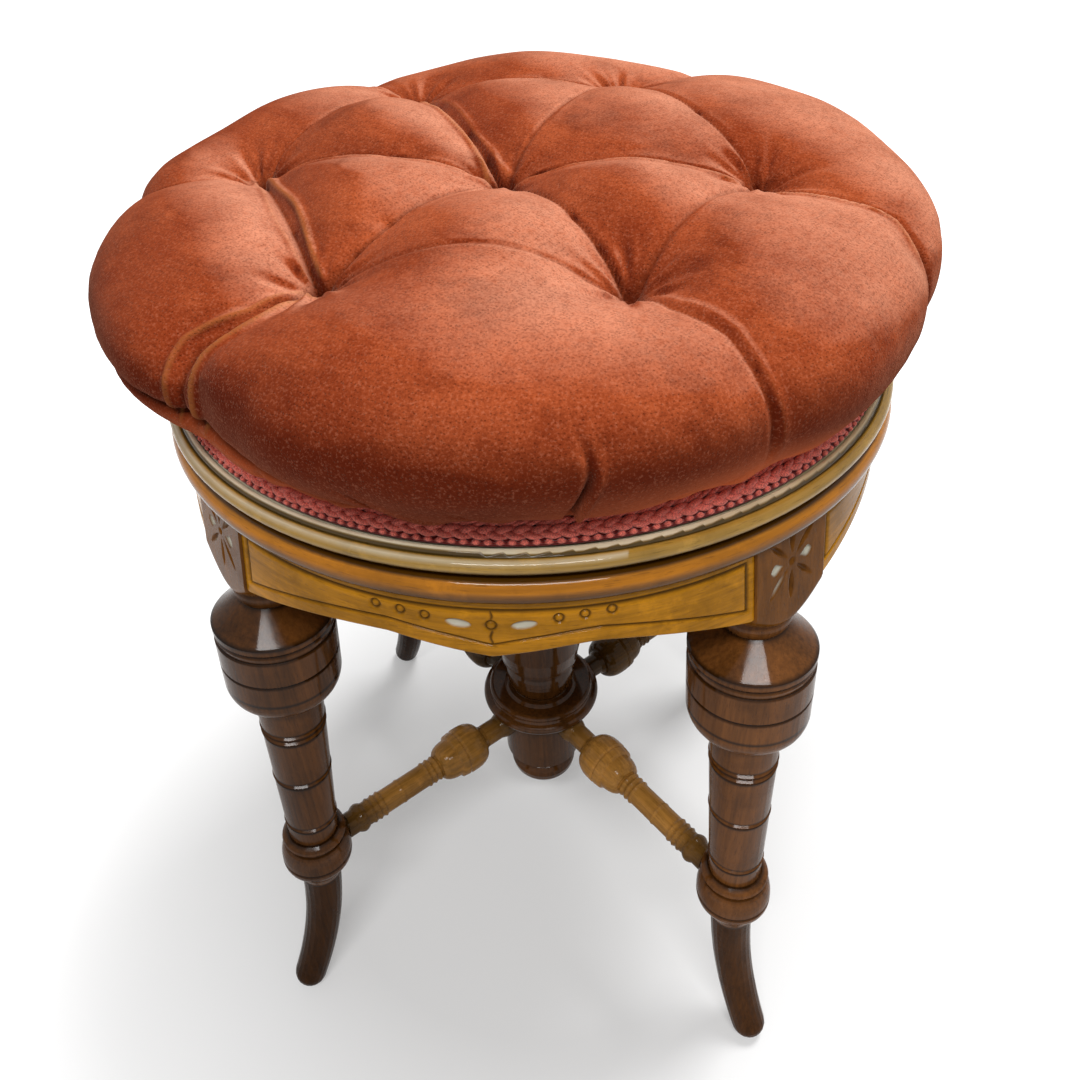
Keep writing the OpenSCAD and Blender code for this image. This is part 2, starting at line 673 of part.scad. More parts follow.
module foot(azimuth) {
    toe = foot_centre(foot_end_angle);
    rings = concat(
        [for (i = [0 : foot_steps]) let (
                share = i / foot_steps,
                angle = leg_splay + (foot_end_angle - leg_splay) * share)
            foot_ring(foot_centre(angle), angle, foot_top_r + (toe_r - foot_top_r) * share, 0)],
        [for (i = [1 : toe_steps - 1]) let (a = 90 * i / toe_steps)
            foot_ring(toe, foot_end_angle, toe_r * cos(a), toe_r * sin(a))]);
    tip = [toe[0] + toe_r * sin(foot_end_angle), 0, toe[1] - toe_r * cos(foot_end_angle)];
    n = len(rings);
    points = concat([for (r = rings) each r], [[foot_r0, 0, foot_z0], tip]);
    faces = concat(
        [for (i = [0 : n - 2]) for (j = [0 : foot_sides - 1]) let (
                k = (j + 1) % foot_sides,
                a = i * foot_sides + j, b = i * foot_sides + k,
                c = a + foot_sides, d = b + foot_sides)
            each [[a, b, c], [b, d, c]]],
        [for (j = [0 : foot_sides - 1]) let (k = (j + 1) % foot_sides)
            [k, j, n * foot_sides]],
        [for (j = [0 : foot_sides - 1]) let (k = (j + 1) % foot_sides)
            [(n - 1) * foot_sides + j, (n - 1) * foot_sides + k, n * foot_sides + 1]]);
    color([0.30, 0.14, 0.08]) difference() {
        union() {
            rotate([0, 0, azimuth]) polyhedron(points, faces);
            leg_frame(azimuth) translate([0, 0, -leg_l - overrun])
                cylinder(r = foot_tenon_r, h = foot_tenon_l + overrun);
        }
        translate([-ring_d, -ring_d, -base_h]) cube([2 * ring_d, 2 * ring_d, base_h]);
    }
}

// Stretchers: turned members from the hub to the legs, tenoned into both
tenon_l = 15;            // length of a stretcher's tenon in the hub
stretcher_end_r = leg_r_at(stretcher_z) - shaft_low_r + tenon_l;
leg_side = leg_r_at(stretcher_z) - knop_r;
end_fit = 0.6;           // length left on a stretcher's ends before they are coped
band_swell = 1.5;        // swell of a stretcher's turned bands
band_share = 0.012;      // half the width of a thin ring, as a share of the span

// Distance from the centre of the stool at a share of the span between hub and leg
function span_at(share) = hub_r + share * (leg_side - hub_r);
function thin_ring(share, height) = [
    [span_at(share - band_share), stretcher_r], [span_at(share), stretcher_r + height],
    [span_at(share + band_share), stretcher_r]];

function bulb_at(share) = span_at(bulb_from_share + share * (bulb_to_share - bulb_from_share));

stretcher_profile = concat(
    [[hub_r - tenon_l, 0], [hub_r - tenon_l, tenon_r], [hub_r - end_fit, tenon_r],
     [hub_r - end_fit, stretcher_r + band_swell], [span_at(0.07), stretcher_r + band_swell],
     [span_at(0.1), stretcher_r], [bulb_at(-0.08), stretcher_r]],
    [for (a = [0 : 15 : 90])
        [bulb_at(0.32 - 0.32 * cos(a)),
         stretcher_r + band_swell + (bulb_r - stretcher_r - band_swell) * sin(a)]],
    [[bulb_at(0.45), bulb_r], [bulb_at(0.49), bulb_r - ring_groove],
     [bulb_at(0.53), bulb_r - ring_groove / 3], [bulb_at(0.64), bulb_r - ring_groove],
     [bulb_at(0.68), bulb_r - 3 * ring_groove]],
    [for (a = [15 : 15 : 90])
        [bulb_at(0.68 + 0.32 * sin(a)),
         stretcher_r + (bulb_r - 3 * ring_groove - stretcher_r) * cos(a)]],
    [for (share = [0.49, 0.52, 0.55]) each thin_ring(share, ring_groove)],
    thin_ring(0.7, ring_groove / 2),
    [for (share = [0.81, 0.84, 0.87]) each thin_ring(share, ring_groove)],
    [[span_at(0.895), stretcher_r]],
    [for (p = bulge(stretcher_r, stretcher_r + 2 * ring_groove,
            span_at(0.9), span_at(0.96) - span_at(0.9), 6)) [p[1], p[0]]],
    [[leg_side + end_fit * 3, stretcher_r], [leg_side + end_fit * 3, tenon_r],
     [stretcher_end_r, tenon_r], [stretcher_end_r, 0]]);

module stretcher(azimuth) {
    color([0.50, 0.29, 0.12]) difference() {
        rotate([0, 0, azimuth]) translate([0, 0, stretcher_z]) rotate([0, 90, 0])
            rotate_extrude() polygon([for (p = stretcher_profile) [p[1], p[0]]]);
        // Coped to the hub and to the leg, round its tenons
        difference() {
            union() {
                translate([0, 0, hub_foot]) cylinder(r = hub_r + wood_fit, h = hub_top - hub_foot);
                leg_frame(azimuth) translate([0, 0, -leg_l])
                    cylinder(r = knop_r + wood_fit, h = leg_l);
            }
            rotate([0, 0, azimuth]) translate([0, 0, stretcher_z]) rotate([0, 90, 0])
                cylinder(r = tenon_r, h = ring_d);
        }
    }
}

// Column: [radius, height above the hub's top as a share of its length]
column_l = apron_top - hub_top;
column_foot_r = 24;      // radius of the ball at the column's foot
column_neck_r = 21;      // radius of the neck above that ball
ball_h = 26;             // height of the ball
head_h = 14;             // height of the column's head

column_profile = concat(
    [[0, hub_top], [column_neck_r, hub_top]],
    [for (a = [-75 : 15 : 75])
        [column_neck_r - ring_groove_w + (column_foot_r - column_neck_r + ring_groove_w) * cos(a),
         hub_top + ball_h / 2 + ball_h / 2 * sin(a)]],
    [[column_neck_r, hub_top + ball_h + ring_groove_w],
     [column_r - ring_groove_w, hub_top + ball_h + 2 * ring_groove_w],
     [column_r - ring_groove_w, hub_top + ball_h + 3 * ring_groove_w]],
    [for (i = [1 : 12]) let (s = i / 12)
        [column_neck_r + ring_groove_w
            + (column_r - column_neck_r - ring_groove_w) * pow(cos(78 * s), 0.8),
         hub_top + ball_h + 3 * ring_groove_w + s * column_l * 0.55]],
    [[column_r - ring_groove_w, hub_top + column_l * 0.74],
     [column_r, hub_top + column_l * 0.76], [column_r - ring_groove_w, hub_top + column_l * 0.78],
     [column_neck_r + 2 * ring_groove_w, hub_top + column_l * 0.8],
     [column_r, hub_top + column_l * 0.88],
     [column_head_r - ring_groove_w, apron_top - head_h],
     [column_head_r, apron_top - head_h + ring_groove_w], [column_head_r, apron_top],
     [0, apron_top]]);

module column() {
    color([0.26, 0.13, 0.08]) difference() {
        union() {
            rotate_extrude() polygon(column_profile);
            translate([0, 0, hub_top - column_spigot_l])
                cylinder(r = column_spigot_r, h = column_spigot_l + overrun);
        }
        translate([0, 0, bore_foot]) cylinder(r = column_bore_r, h = apron_top - bore_foot + overrun);
        translate([0, 0, nut_bottom - wood_fit])
            cylinder(r = nut_barrel_r + wood_fit, h = apron_top - nut_bottom + wood_fit + overrun);
    }
}

collar_h = 13;           // height of the hub's collar

hub_profile = [
    [0, hub_foot], [hub_r - ring_groove_w, hub_foot], [hub_r, hub_foot + ring_groove_w],
    [hub_r, hub_top - collar_h]];

module hub() {
    color([0.30, 0.15, 0.09]) difference() {
        rotate_extrude() {
            polygon(concat(hub_profile,
                [for (a = [-90 : 15 : 60])
                    [collar_r - collar_h * 0.28 + collar_h * 0.28 * cos(a),
                     hub_top - collar_h * 0.72 + collar_h * 0.28 * sin(a)]],
                [[collar_r - collar_h * 0.3, hub_top - collar_h * 0.42],
                 [collar_r - collar_h * 0.34, hub_top - collar_h * 0.3]],
                [for (a = [-30 : 20 : 90])
                    [collar_r - collar_h * 0.55 + collar_h * 0.2 * cos(a),
                     hub_top - collar_h * 0.18 + collar_h * 0.18 * sin(a)]],
                [[column_foot_r + ring_groove_w, hub_top - ring_groove_w],
                 [column_foot_r, hub_top], [0, hub_top]]));
        }
        translate([0, 0, hub_top - column_spigot_l - wood_fit])
            cylinder(r = column_spigot_r + wood_fit, h = column_spigot_l + wood_fit + overrun);
        translate([0, 0, hub_foot - overrun])
            cylinder(r = finial_spigot_r + wood_fit, h = finial_spigot_l + wood_fit + overrun);
        for (azimuth = leg_angles)
            rotate([0, 0, azimuth]) translate([hub_r - tenon_l - wood_fit, 0, stretcher_z])
                rotate([0, 90, 0]) cylinder(r = tenon_r + wood_fit, h = tenon_l + collar_h, $fn = 48);
    }
}

module finial() {
    color([0.28, 0.14, 0.09]) {
        rotate_extrude() polygon(concat(
            [[0, hub_foot - finial_h]],
            [for (a = [-75 : 15 : 60])
                [finial_r * cos(a),
                 hub_foot - finial_h * 0.45 + finial_h * 0.55 * sin(a) * (a < 0 ? 1 : 0.75)]],
            [[finial_r * 0.52, hub_foot - ring_groove_w], [finial_r * 0.62, hub_foot],
             [0, hub_foot]]));
        translate([0, 0, hub_foot]) cylinder(r = finial_spigot_r, h = finial_spigot_l);
    }
}

cushion();
tuft_twines();
gimp_braid();
seat_rim();
seat_board();
spider_plate();
spider_screws();
seat_screw();
screw_pin();
stop_washer();
stop_nut();
nut_plate();
nut_plate_screws();
base_ring();
base_board();
apron_panel(3 * panel_angle);  // apron_front
apron_panel(0);  // apron_right
apron_panel(panel_angle);  // apron_back
apron_panel(2 * panel_angle);  // apron_left
corner_block(front_left_angle);  // block_front_left
corner_block(front_right_angle);  // block_front_right
corner_block(back_right_angle);  // block_back_right
corner_block(back_left_angle);  // block_back_left
leg(front_left_angle);  // leg_front_left
leg(front_right_angle);  // leg_front_right
leg(back_right_angle);  // leg_back_right
leg(back_left_angle);  // leg_back_left
foot(front_left_angle);  // foot_front_left
foot(front_right_angle);  // foot_front_right
foot(back_right_angle);  // foot_back_right
foot(back_left_angle);  // foot_back_left
stretcher(front_left_angle);  // stretcher_front_left
stretcher(front_right_angle);  // stretcher_front_right
stretcher(back_right_angle);  // stretcher_back_right
stretcher(back_left_angle);  // stretcher_back_left
column();
hub();
finial();
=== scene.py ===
"""Revolving piano stool: the look of every piece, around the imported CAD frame.

All lengths are metres in the frame of the part: origin on the floor under the seat's centre, +Z up,
the front apron panel towards -Y. New pieces are numpy grids or profiles carried along a path; every
piece keeps its place in its mesh, with its object at the origin.
"""

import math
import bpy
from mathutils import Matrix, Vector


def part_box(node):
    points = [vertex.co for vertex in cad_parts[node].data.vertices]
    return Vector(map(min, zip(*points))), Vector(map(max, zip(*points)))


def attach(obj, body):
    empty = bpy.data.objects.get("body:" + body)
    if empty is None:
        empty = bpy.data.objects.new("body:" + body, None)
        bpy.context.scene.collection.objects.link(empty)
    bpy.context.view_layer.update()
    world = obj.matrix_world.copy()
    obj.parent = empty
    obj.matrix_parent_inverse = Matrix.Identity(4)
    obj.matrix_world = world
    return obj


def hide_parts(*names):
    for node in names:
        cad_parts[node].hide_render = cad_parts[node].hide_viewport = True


bl_info = {
    "name": "Revolving Piano Stool",
    "version": (1, 0, 0),
    "blender": (4, 5, 0),
    "location": "View3D > Sidebar > Stool",
    "description": "Builds the upholstery, carving, screw and finishes of a piano stool",
    "category": "Object",
}

import bpy
import numpy as np

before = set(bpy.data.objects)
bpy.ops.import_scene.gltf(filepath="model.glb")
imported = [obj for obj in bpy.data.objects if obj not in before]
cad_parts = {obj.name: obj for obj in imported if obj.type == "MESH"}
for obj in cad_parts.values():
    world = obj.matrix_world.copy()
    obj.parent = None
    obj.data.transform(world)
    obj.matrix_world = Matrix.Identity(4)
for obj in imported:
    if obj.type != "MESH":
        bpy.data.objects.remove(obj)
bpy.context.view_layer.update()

MM = 0.001
FULL_TURN = 2.0 * math.pi
RING_R = 0.18
# Pale colour painted on the rim: a painted reflection, and dusty wear
SHINE_AND_BLOOM = (0.80, 0.74, 0.55)
# Painted highlight in the bottoms of carved cuts
CUT_HIGHLIGHT = (0.52, 0.51, 0.42)
# Painted highlight along the crests of the cushion's folds
FOLD_HIGHLIGHT = (0.60, 0.24, 0.07)
RUST = (0.14, 0.055, 0.02)
LEG_ANGLES = {"front_left": 225, "front_right": 315, "back_right": 45, "back_left": 135}
PANEL_ANGLES = {"front": 270, "right": 0, "back": 90, "left": 180}


# Sizes and colours a user may change

def length(name, default, about, low=0.0, high=1.0):
    """A length property in metres."""
    return bpy.props.FloatProperty(name=name, default=default, description=about, min=low, max=high,
                                   subtype="DISTANCE", unit="LENGTH", precision=4)


def colour(name, default, about):
    """A colour property, linear RGB."""
    return bpy.props.FloatVectorProperty(name=name, default=default, description=about, size=3,
                                         subtype="COLOR", min=0.0, max=1.0)


class CushionSizes(bpy.types.PropertyGroup):
    tuft_depth: length("Tuft depth", 0.027, "Depth of a tuft below the cushion's crown")
    tuft_width: length("Tuft width", 0.026, "Spread of a tuft's hollow")
    pleat_depth: length("Pleat depth", 0.020, "Depth of a tightly drawn pleat")
    pleat_width: length("Pleat width", 0.014, "Spread of a pleat's hollow")
    cloth_cap: length("Cloth cap", 0.006, "Most that the simulated stuffing may move a point")
    voxel: length("Voxel", 0.006, "Size of the remesh before the cloth simulation", 0.002)
    lean: length("Lean", -0.005, "Sideways lean of the worn stuffing", -0.02, 0.02)
    lift: length("Lift", 0.016, "How much higher the back of the stuffing stands", -0.02, 0.02)


class CarvingSizes(bpy.types.PropertyGroup):
    line_depth: length("Line depth", 0.0011, "Depth of the incised lines")
    line_width: length("Line width", 0.0008, "Width of the incised lines")
    gouge_depth: length("Gouge depth", 0.0020, "Depth of the lens-shaped gouges")
    star_reach: length("Star reach", 0.0205, "Reach of the corner stars' petals")
    star_depth: length("Star depth", 0.0022, "Depth of the corner stars' petals")


class StoolColours(bpy.types.PropertyGroup):
    velvet: colour("Velvet", (0.245, 0.038, 0.010), "Body of the velvet")
    velvet_light: colour("Velvet nap", (0.41, 0.085, 0.027), "Velvet with its nap brushed up")
    # Also the painted shade on slopes turned from the light and, darker, in creases
    velvet_dark: colour("Velvet shade", (0.080, 0.007, 0.002), "Velvet with its nap crushed")
    # The painted sheen on slopes that face the light, and light specks in the nap
    velvet_pale: colour("Velvet bloom", (0.80, 0.33, 0.20), "Velvet with its nap towards the light")
    gimp: colour("Gimp", (0.80, 0.180, 0.135), "Dusty rose braid")
    # Painted shade: the colour of the tape between the cords and of the cords' sides against it
    gimp_shade: colour("Gimp shade", (0.16, 0.012, 0.009), "The braid's ground, between its cords")
    amber: colour("Amber wood", (0.49, 0.205, 0.008), "Polished panels")
    torus: colour("Ring wood", (0.50, 0.178, 0.007), "Half-round ring over the panels")
    walnut: colour("Walnut", (0.090, 0.032, 0.007), "Dark turned and carved wood")
    block: colour("Block wood", (0.165, 0.058, 0.007), "Carved corner blocks")
    honey: colour("Honey wood", (0.42, 0.195, 0.040), "Stretchers")
    rim: colour("Rim", (0.43, 0.245, 0.042), "Moulded rim of the seat")


# Mesh helpers

def grid_piece(name, points, around=False, ends=(), flip=False, marks=None, looped=False):
    """Mesh object from a grid of points[row, column].

    Each cell of four neighbours is one quad. With around=True the last column joins the first, and with
    looped=True the last row joins the first. ends names the rows, 0 or -1, that a fan to their middle
    closes, and flip turns every face round. marks holds named grids of one number for each point, which
    materials read.
    """
    rows, columns = points.shape[:2]
    row, column = np.meshgrid(np.arange(rows if looped else rows - 1),
                              np.arange(columns if around else columns - 1), indexing="ij")
    row, column = row.ravel(), column.ravel()
    beside, below = (column + 1) % columns, (row + 1) % rows
    faces = np.stack([row * columns + column, row * columns + beside,
                      below * columns + beside, below * columns + column], axis=1)
    if flip:
        faces = faces[:, ::-1]
    faces = faces.tolist()
    vertices = points.reshape(-1, 3)
    extra = []
    for end in ends:
        ring = np.arange(columns) + (0 if end == 0 else (rows - 1) * columns)
        middle = len(vertices) + len(extra)
        extra.append(vertices[ring].mean(axis=0))
        after = np.roll(ring, -1)
        turned = (end == 0) != flip
        fan = np.stack([after, ring, np.full(columns, middle)] if turned
                       else [ring, after, np.full(columns, middle)], axis=1)
        faces += fan.tolist()
    if extra:
        vertices = np.vstack([vertices, extra])
    mesh = bpy.data.meshes.new(name)
    mesh.from_pydata(vertices.tolist(), [], faces)
    mesh.polygons.foreach_set("use_smooth", np.ones(len(mesh.polygons), dtype=bool))
    for key, values in (marks or {}).items():
        keep_mark(mesh, key, np.concatenate([values.ravel(), np.zeros(len(extra))]))
    mesh.update()
    piece = bpy.data.objects.new(name, mesh)
    bpy.context.scene.collection.objects.link(piece)
    return piece


def keep_mark(mesh, name, values):
    """Keep one number for each vertex as an attribute that a material can read."""
    layer = mesh.attributes.new(name, "FLOAT", "POINT")
    layer.data.foreach_set("value", values.astype(np.float32))


def read_vectors(rows, key):
    """A mesh's places ("co" of its vertices) or normals ("vector" of its vertex normals), a row each."""
    values = np.empty(len(rows) * 3)
    rows.foreach_get(key, values)
    return values.reshape(-1, 3)


def with_modifiers(piece):
    """A new mesh of the piece as its modifiers leave it."""
    return bpy.data.meshes.new_from_object(piece.evaluated_get(bpy.context.evaluated_depsgraph_get()))


def turn(points, degrees):
    """Points turned about the vertical axis."""
    a = math.radians(degrees)
    c, s = math.cos(a), math.sin(a)
    return points @ np.array([[c, s, 0.0], [-s, c, 0.0], [0.0, 0.0, 1.0]])


def smooth_step(x):
    """3x^2 - 2x^3 between 0 and 1."""
    x = np.clip(x, 0.0, 1.0)
    return x * x * (3.0 - 2.0 * x)


def bell(distance, width):
    """exp(-(distance / width)^2)"""
    return np.exp(-np.square(distance / width))


def line_gap(x, y, start, end):
    """Distance of each point from the straight line between two points, and its share along the line."""
    dx, dy = end[0] - start[0], end[1] - start[1]
    share = np.clip(((x - start[0]) * dx + (y - start[1]) * dy) / (dx * dx + dy * dy), 0.0, 1.0)
    return np.hypot(x - start[0] - share * dx, y - start[1] - share * dy), share


def tube(path, radius, sides, closed=True):
    """Points of a round tube along a path: a circle in the plane across the path at each point."""
    ahead = np.roll(path, -1, axis=0) - np.roll(path, 1, axis=0)
    if not closed:
        ahead[0], ahead[-1] = path[1] - path[0], path[-1] - path[-2]
    ahead /= np.linalg.norm(ahead, axis=1, keepdims=True)
    side = np.cross(ahead, [0.0, 0.0, 1.0])
    side /= np.linalg.norm(side, axis=1, keepdims=True)
    over = np.cross(side, ahead)
    a = np.linspace(0.0, FULL_TURN, sides, endpoint=False)
    radius = np.broadcast_to(radius, len(path))[:, None, None]
    return path[:, None, :] + radius * (side[:, None, :] * np.cos(a)[None, :, None]
                                        + over[:, None, :] * np.sin(a)[None, :, None])


# Shader helpers

class Wire:
    """An output socket of a material's node; arithmetic on it adds Math nodes."""

    def __init__(self, tree, socket=None):
        self.tree = tree
        self.socket = socket

    def make(self, kind, settings=None, sockets=None, out=0):
        """Add a node: its settings first, then the values or links of its sockets."""
        node = self.tree.nodes.new(kind)
        for key, value in (settings or {}).items():
            setattr(node, key, value)
        for key, value in (sockets or {}).items():
            if isinstance(value, Wire):
                self.tree.links.new(value.socket, node.inputs[key])
            else:
                node.inputs[key].default_value = value
        return Wire(self.tree, node.outputs[out])

    def math(self, operation, a, b=None):
        sockets = {0: a} if b is None else {0: a, 1: b}
        return self.make("ShaderNodeMath", {"operation": operation}, sockets)

    def __add__(self, other):
        return self.math("ADD", self, other)

    def __radd__(self, other):
        return self.math("ADD", other, self)

    def __sub__(self, other):
        return self.math("SUBTRACT", self, other)

    def __rsub__(self, other):
        return self.math("SUBTRACT", other, self)

    def __mul__(self, other):
        return self.math("MULTIPLY", self, other)

    def __rmul__(self, other):
        return self.math("MULTIPLY", other, self)


def start_material(name):
    """A new material with an empty node tree, and a Wire to add nodes with."""
    material = bpy.data.materials.new(name)
    material.use_nodes = True
    material.node_tree.nodes.clear()
    return material, Wire(material.node_tree)


def finish_material(w, colour, roughness, bump=None, bump_depth=0.0002, **constants):
    """Principled shader: colour, roughness and a bump vary, every other socket takes one value."""
    sockets = {"Base Color": colour, "Roughness": roughness}
    if bump is not None:
        sockets["Normal"] = w.make("ShaderNodeBump", None,
                                   {"Height": bump, "Distance": bump_depth, "Strength": 1.0})
    for key, value in constants.items():
        sockets[key.replace("_", " ")] = value
    output(w, w.make("ShaderNodeBsdfPrincipled", None, sockets))


def output(w, shader, kind="ShaderNodeOutputMaterial"):
    """Connect a shader to the surface of the material, or of the world."""
    node = w.tree.nodes.new(kind)
    w.tree.links.new(shader.socket, node.inputs["Surface"])


def place_of(w):
    """Object coordinates, in metres."""
    return w.make("ShaderNodeTexCoord", None, None, "Object")


def axes_of(w):
    """The x, the y and the z of each place, in metres."""
    parts = w.make("ShaderNodeSeparateXYZ", None, {0: place_of(w)})
    return [Wire(w.tree, axis) for axis in parts.socket.node.outputs]


def stretched(w, place, scale, rotation=(0.0, 0.0, 0.0)):
    """Coordinates turned and then multiplied, so that a pattern gets finer along each axis."""
    turned = w.make("ShaderNodeMapping", {"vector_type": "POINT"},
                    {"Vector": place, "Rotation": rotation}) if any(rotation) else place
    return w.make("ShaderNodeVectorMath", {"operation": "MULTIPLY"}, {0: turned, 1: scale})


def noise(w, place, scale=1.0, detail=3.0, rough=0.5):
    """Fractal noise from 0 to 1."""
    return w.make("ShaderNodeTexNoise", None,
                  {"Vector": place, "Scale": scale, "Detail": detail, "Roughness": rough})


def cells(w, place, scale, scatter):
    """Distance to the nearest of many points, in cells; scatter 0 puts them on a square lattice."""
    return w.make("ShaderNodeTexVoronoi", None, {"Vector": place, "Scale": scale, "Randomness": scatter})


def ramp(w, value, low, high, stops):
    """Number read from a list of (value, number), straight between them; at most 32 stops."""
    node = w.tree.nodes.new("ShaderNodeValToRGB")
    w.tree.links.new(fit(w, value, low, high).socket, node.inputs[0])
    elements = node.color_ramp.elements
    places = [(place - low) / (high - low) for place, number in stops]
    for element, i in ((elements[0], 0), (elements[1], -1)):
        element.position = places[i]
        element.color = (stops[i][1],) * 3 + (1.0,)
    for place, (_, number) in list(zip(places, stops))[1:-1]:
        elements.new(place).color = (number,) * 3 + (1.0,)
    return Wire(w.tree, node.outputs[0])


def grooves(w, value, places, width):
    """1 at each of the places and 0 further off than the width; ten places to a ramp."""
    total = None
    for first in range(0, len(places), 10):
        stops = []
        for place in places[first:first + 10]:
            stops += [(place - width, 0.0), (place, 1.0), (place + width, 0.0)]
        part = ramp(w, value, stops[0][0] - width, stops[-1][0] + width, stops)
        total = part if total is None else w.math("MAXIMUM", total, part)
    return total


def cylinder_place(w):
    """Distance from the stool's axis, and height above the floor."""
    x, y, z = axes_of(w)
    return w.math("SQRT", x * x + y * y), z


def along_line(w, start, ahead):
    """Distance of each place along a straight line from its start."""
    away = w.make("ShaderNodeVectorMath", {"operation": "SUBTRACT"}, {0: place_of(w), 1: tuple(start)})
    return w.make("ShaderNodeVectorMath", {"operation": "DOT_PRODUCT"}, {0: away, 1: tuple(ahead)}, 1)


def fit(w, value, low, high, to_low=0.0, to_high=1.0):
    """Value taken from low..high to to_low..to_high, and held there."""
    return w.make("ShaderNodeMapRange", {"clamp": True},
                  {"Value": value, "From Min": low, "From Max": high, "To Min": to_low, "To Max": to_high})


def mix(w, a, b, share):
    """Colour a at share 0, colour b at share 1."""
    as_colour = lambda c: c if isinstance(c, Wire) else (*c, 1.0)
    return w.make("ShaderNodeMix", {"data_type": "RGBA"},
                  {0: share, 6: as_colour(a), 7: as_colour(b)}, 2)


def scaled(c, k):
    """A colour made lighter or darker."""
    return tuple(min(1.0, v * k) for v in c)


def mark_of(w, name="mark"):
    """A number kept on the mesh: "mark" is 1 in a cut or crease and 0 on the face."""
    return w.make("ShaderNodeAttribute", {"attribute_name": name}, None, 2)


def grain_place(w, along):
    """Coordinates in metres whose first axis runs with the wood's grain.

    along is "up" for a standing piece, "ring" for one bent round the stool's axis, or the compass angle
    in degrees of a lying one.
    """
    if along == "ring":
        x, y, z = axes_of(w)
        angle = w.math("ARCTAN2", y, x)
        radius = w.math("SQRT", x * x + y * y)
        return w.make("ShaderNodeCombineXYZ", None, {0: angle * RING_R, 1: radius, 2: z})
    rotation = (0.0, math.pi / 2, 0.0) if along == "up" else (0.0, 0.0, -math.radians(along))
    return stretched(w, place_of(w), (1.0, 1.0, 1.0), rotation)


def wood(name, body, along, light=1.7, dark=0.35, polish=0.26, coat=0.09, grime=0.6, carved=False,
         darkening=None, pale=None):
    """Polished wood: broad figure, long grain streaks, short dark pores, handling dirt and soft wear.

    light and dark multiply the body colour in the figure, polish is the roughness and grime the share of
    handling dirt. A carved piece has the marks "mark", painted shade in its cuts, and "bright", a painted
    highlight where their bottoms catch the light. soil is a function that gives, with the tree, how much a
    place is darkened by painted shade and dirt, and pale one that gives how much a pale colour of painted
    reflection and dusty wear is laid on.
    """
    material, w = start_material(name)
    place = grain_place(w, along)
    figure = noise(w, stretched(w, place, (6.0, 34.0, 34.0)), 1.0, 3.0, 0.55)
    streak = noise(w, stretched(w, place, (16.0, 420.0, 420.0)), 1.0, 4.0, 0.6)
    pores = noise(w, stretched(w, place, (150.0, 1900.0, 1900.0)), 1.0, 2.0, 0.5)
    pore = fit(w, pores, 0.60, 0.70)
    dirt = fit(w, noise(w, place_of(w), 34.0, 5.0, 0.66), 0.50, 0.72)
    worn = fit(w, noise(w, place_of(w), 52.0, 5.0, 0.7), 0.58, 0.74)
    shade = fit(w, figure * 0.55 + streak * 0.45, 0.34, 0.66)
    tone = mix(w, scaled(body, dark), scaled(body, light), shade)
    tone = mix(w, body, tone, 0.75)
    tone = mix(w, tone, scaled(body, 0.30), pore * 0.45)
    tone = mix(w, tone, scaled(body, 0.30), dirt * grime * 0.7)
    tone = mix(w, tone, scaled(body, 1.9), worn * 0.35)
    roughness = fit(w, streak * 0.4 + dirt * 0.6, 0.2, 0.9, polish - 0.06, polish + 0.20)
    bump = streak * 0.35 - pore * 0.8
    # painted reflection and dusty wear, laid on as a pale colour
    if pale is not None:
        tone = mix(w, tone, SHINE_AND_BLOOM, pale(w))
    # painted shade, with dirt in grooves, as the function gives
    if darkening is not None:
        tone = mix(w, tone, scaled(body, 0.05), darkening(w) * 0.93)
    if carved:
        cut = mark_of(w)
        # painted shade in the cuts, and a painted highlight where their bottoms catch the light
        tone = mix(w, tone, scaled(body, 0.09), fit(w, cut, 0.30, 1.0, 0.0, 0.92))
        tone = mix(w, tone, CUT_HIGHLIGHT, mark_of(w, "bright") * 0.9)
        roughness = roughness + cut * 0.2
    finish_material(w, tone, roughness, bump, 0.00006, Coat_Weight=coat, Coat_Roughness=0.09,
                    Specular_IOR_Level=0.02)
    return material


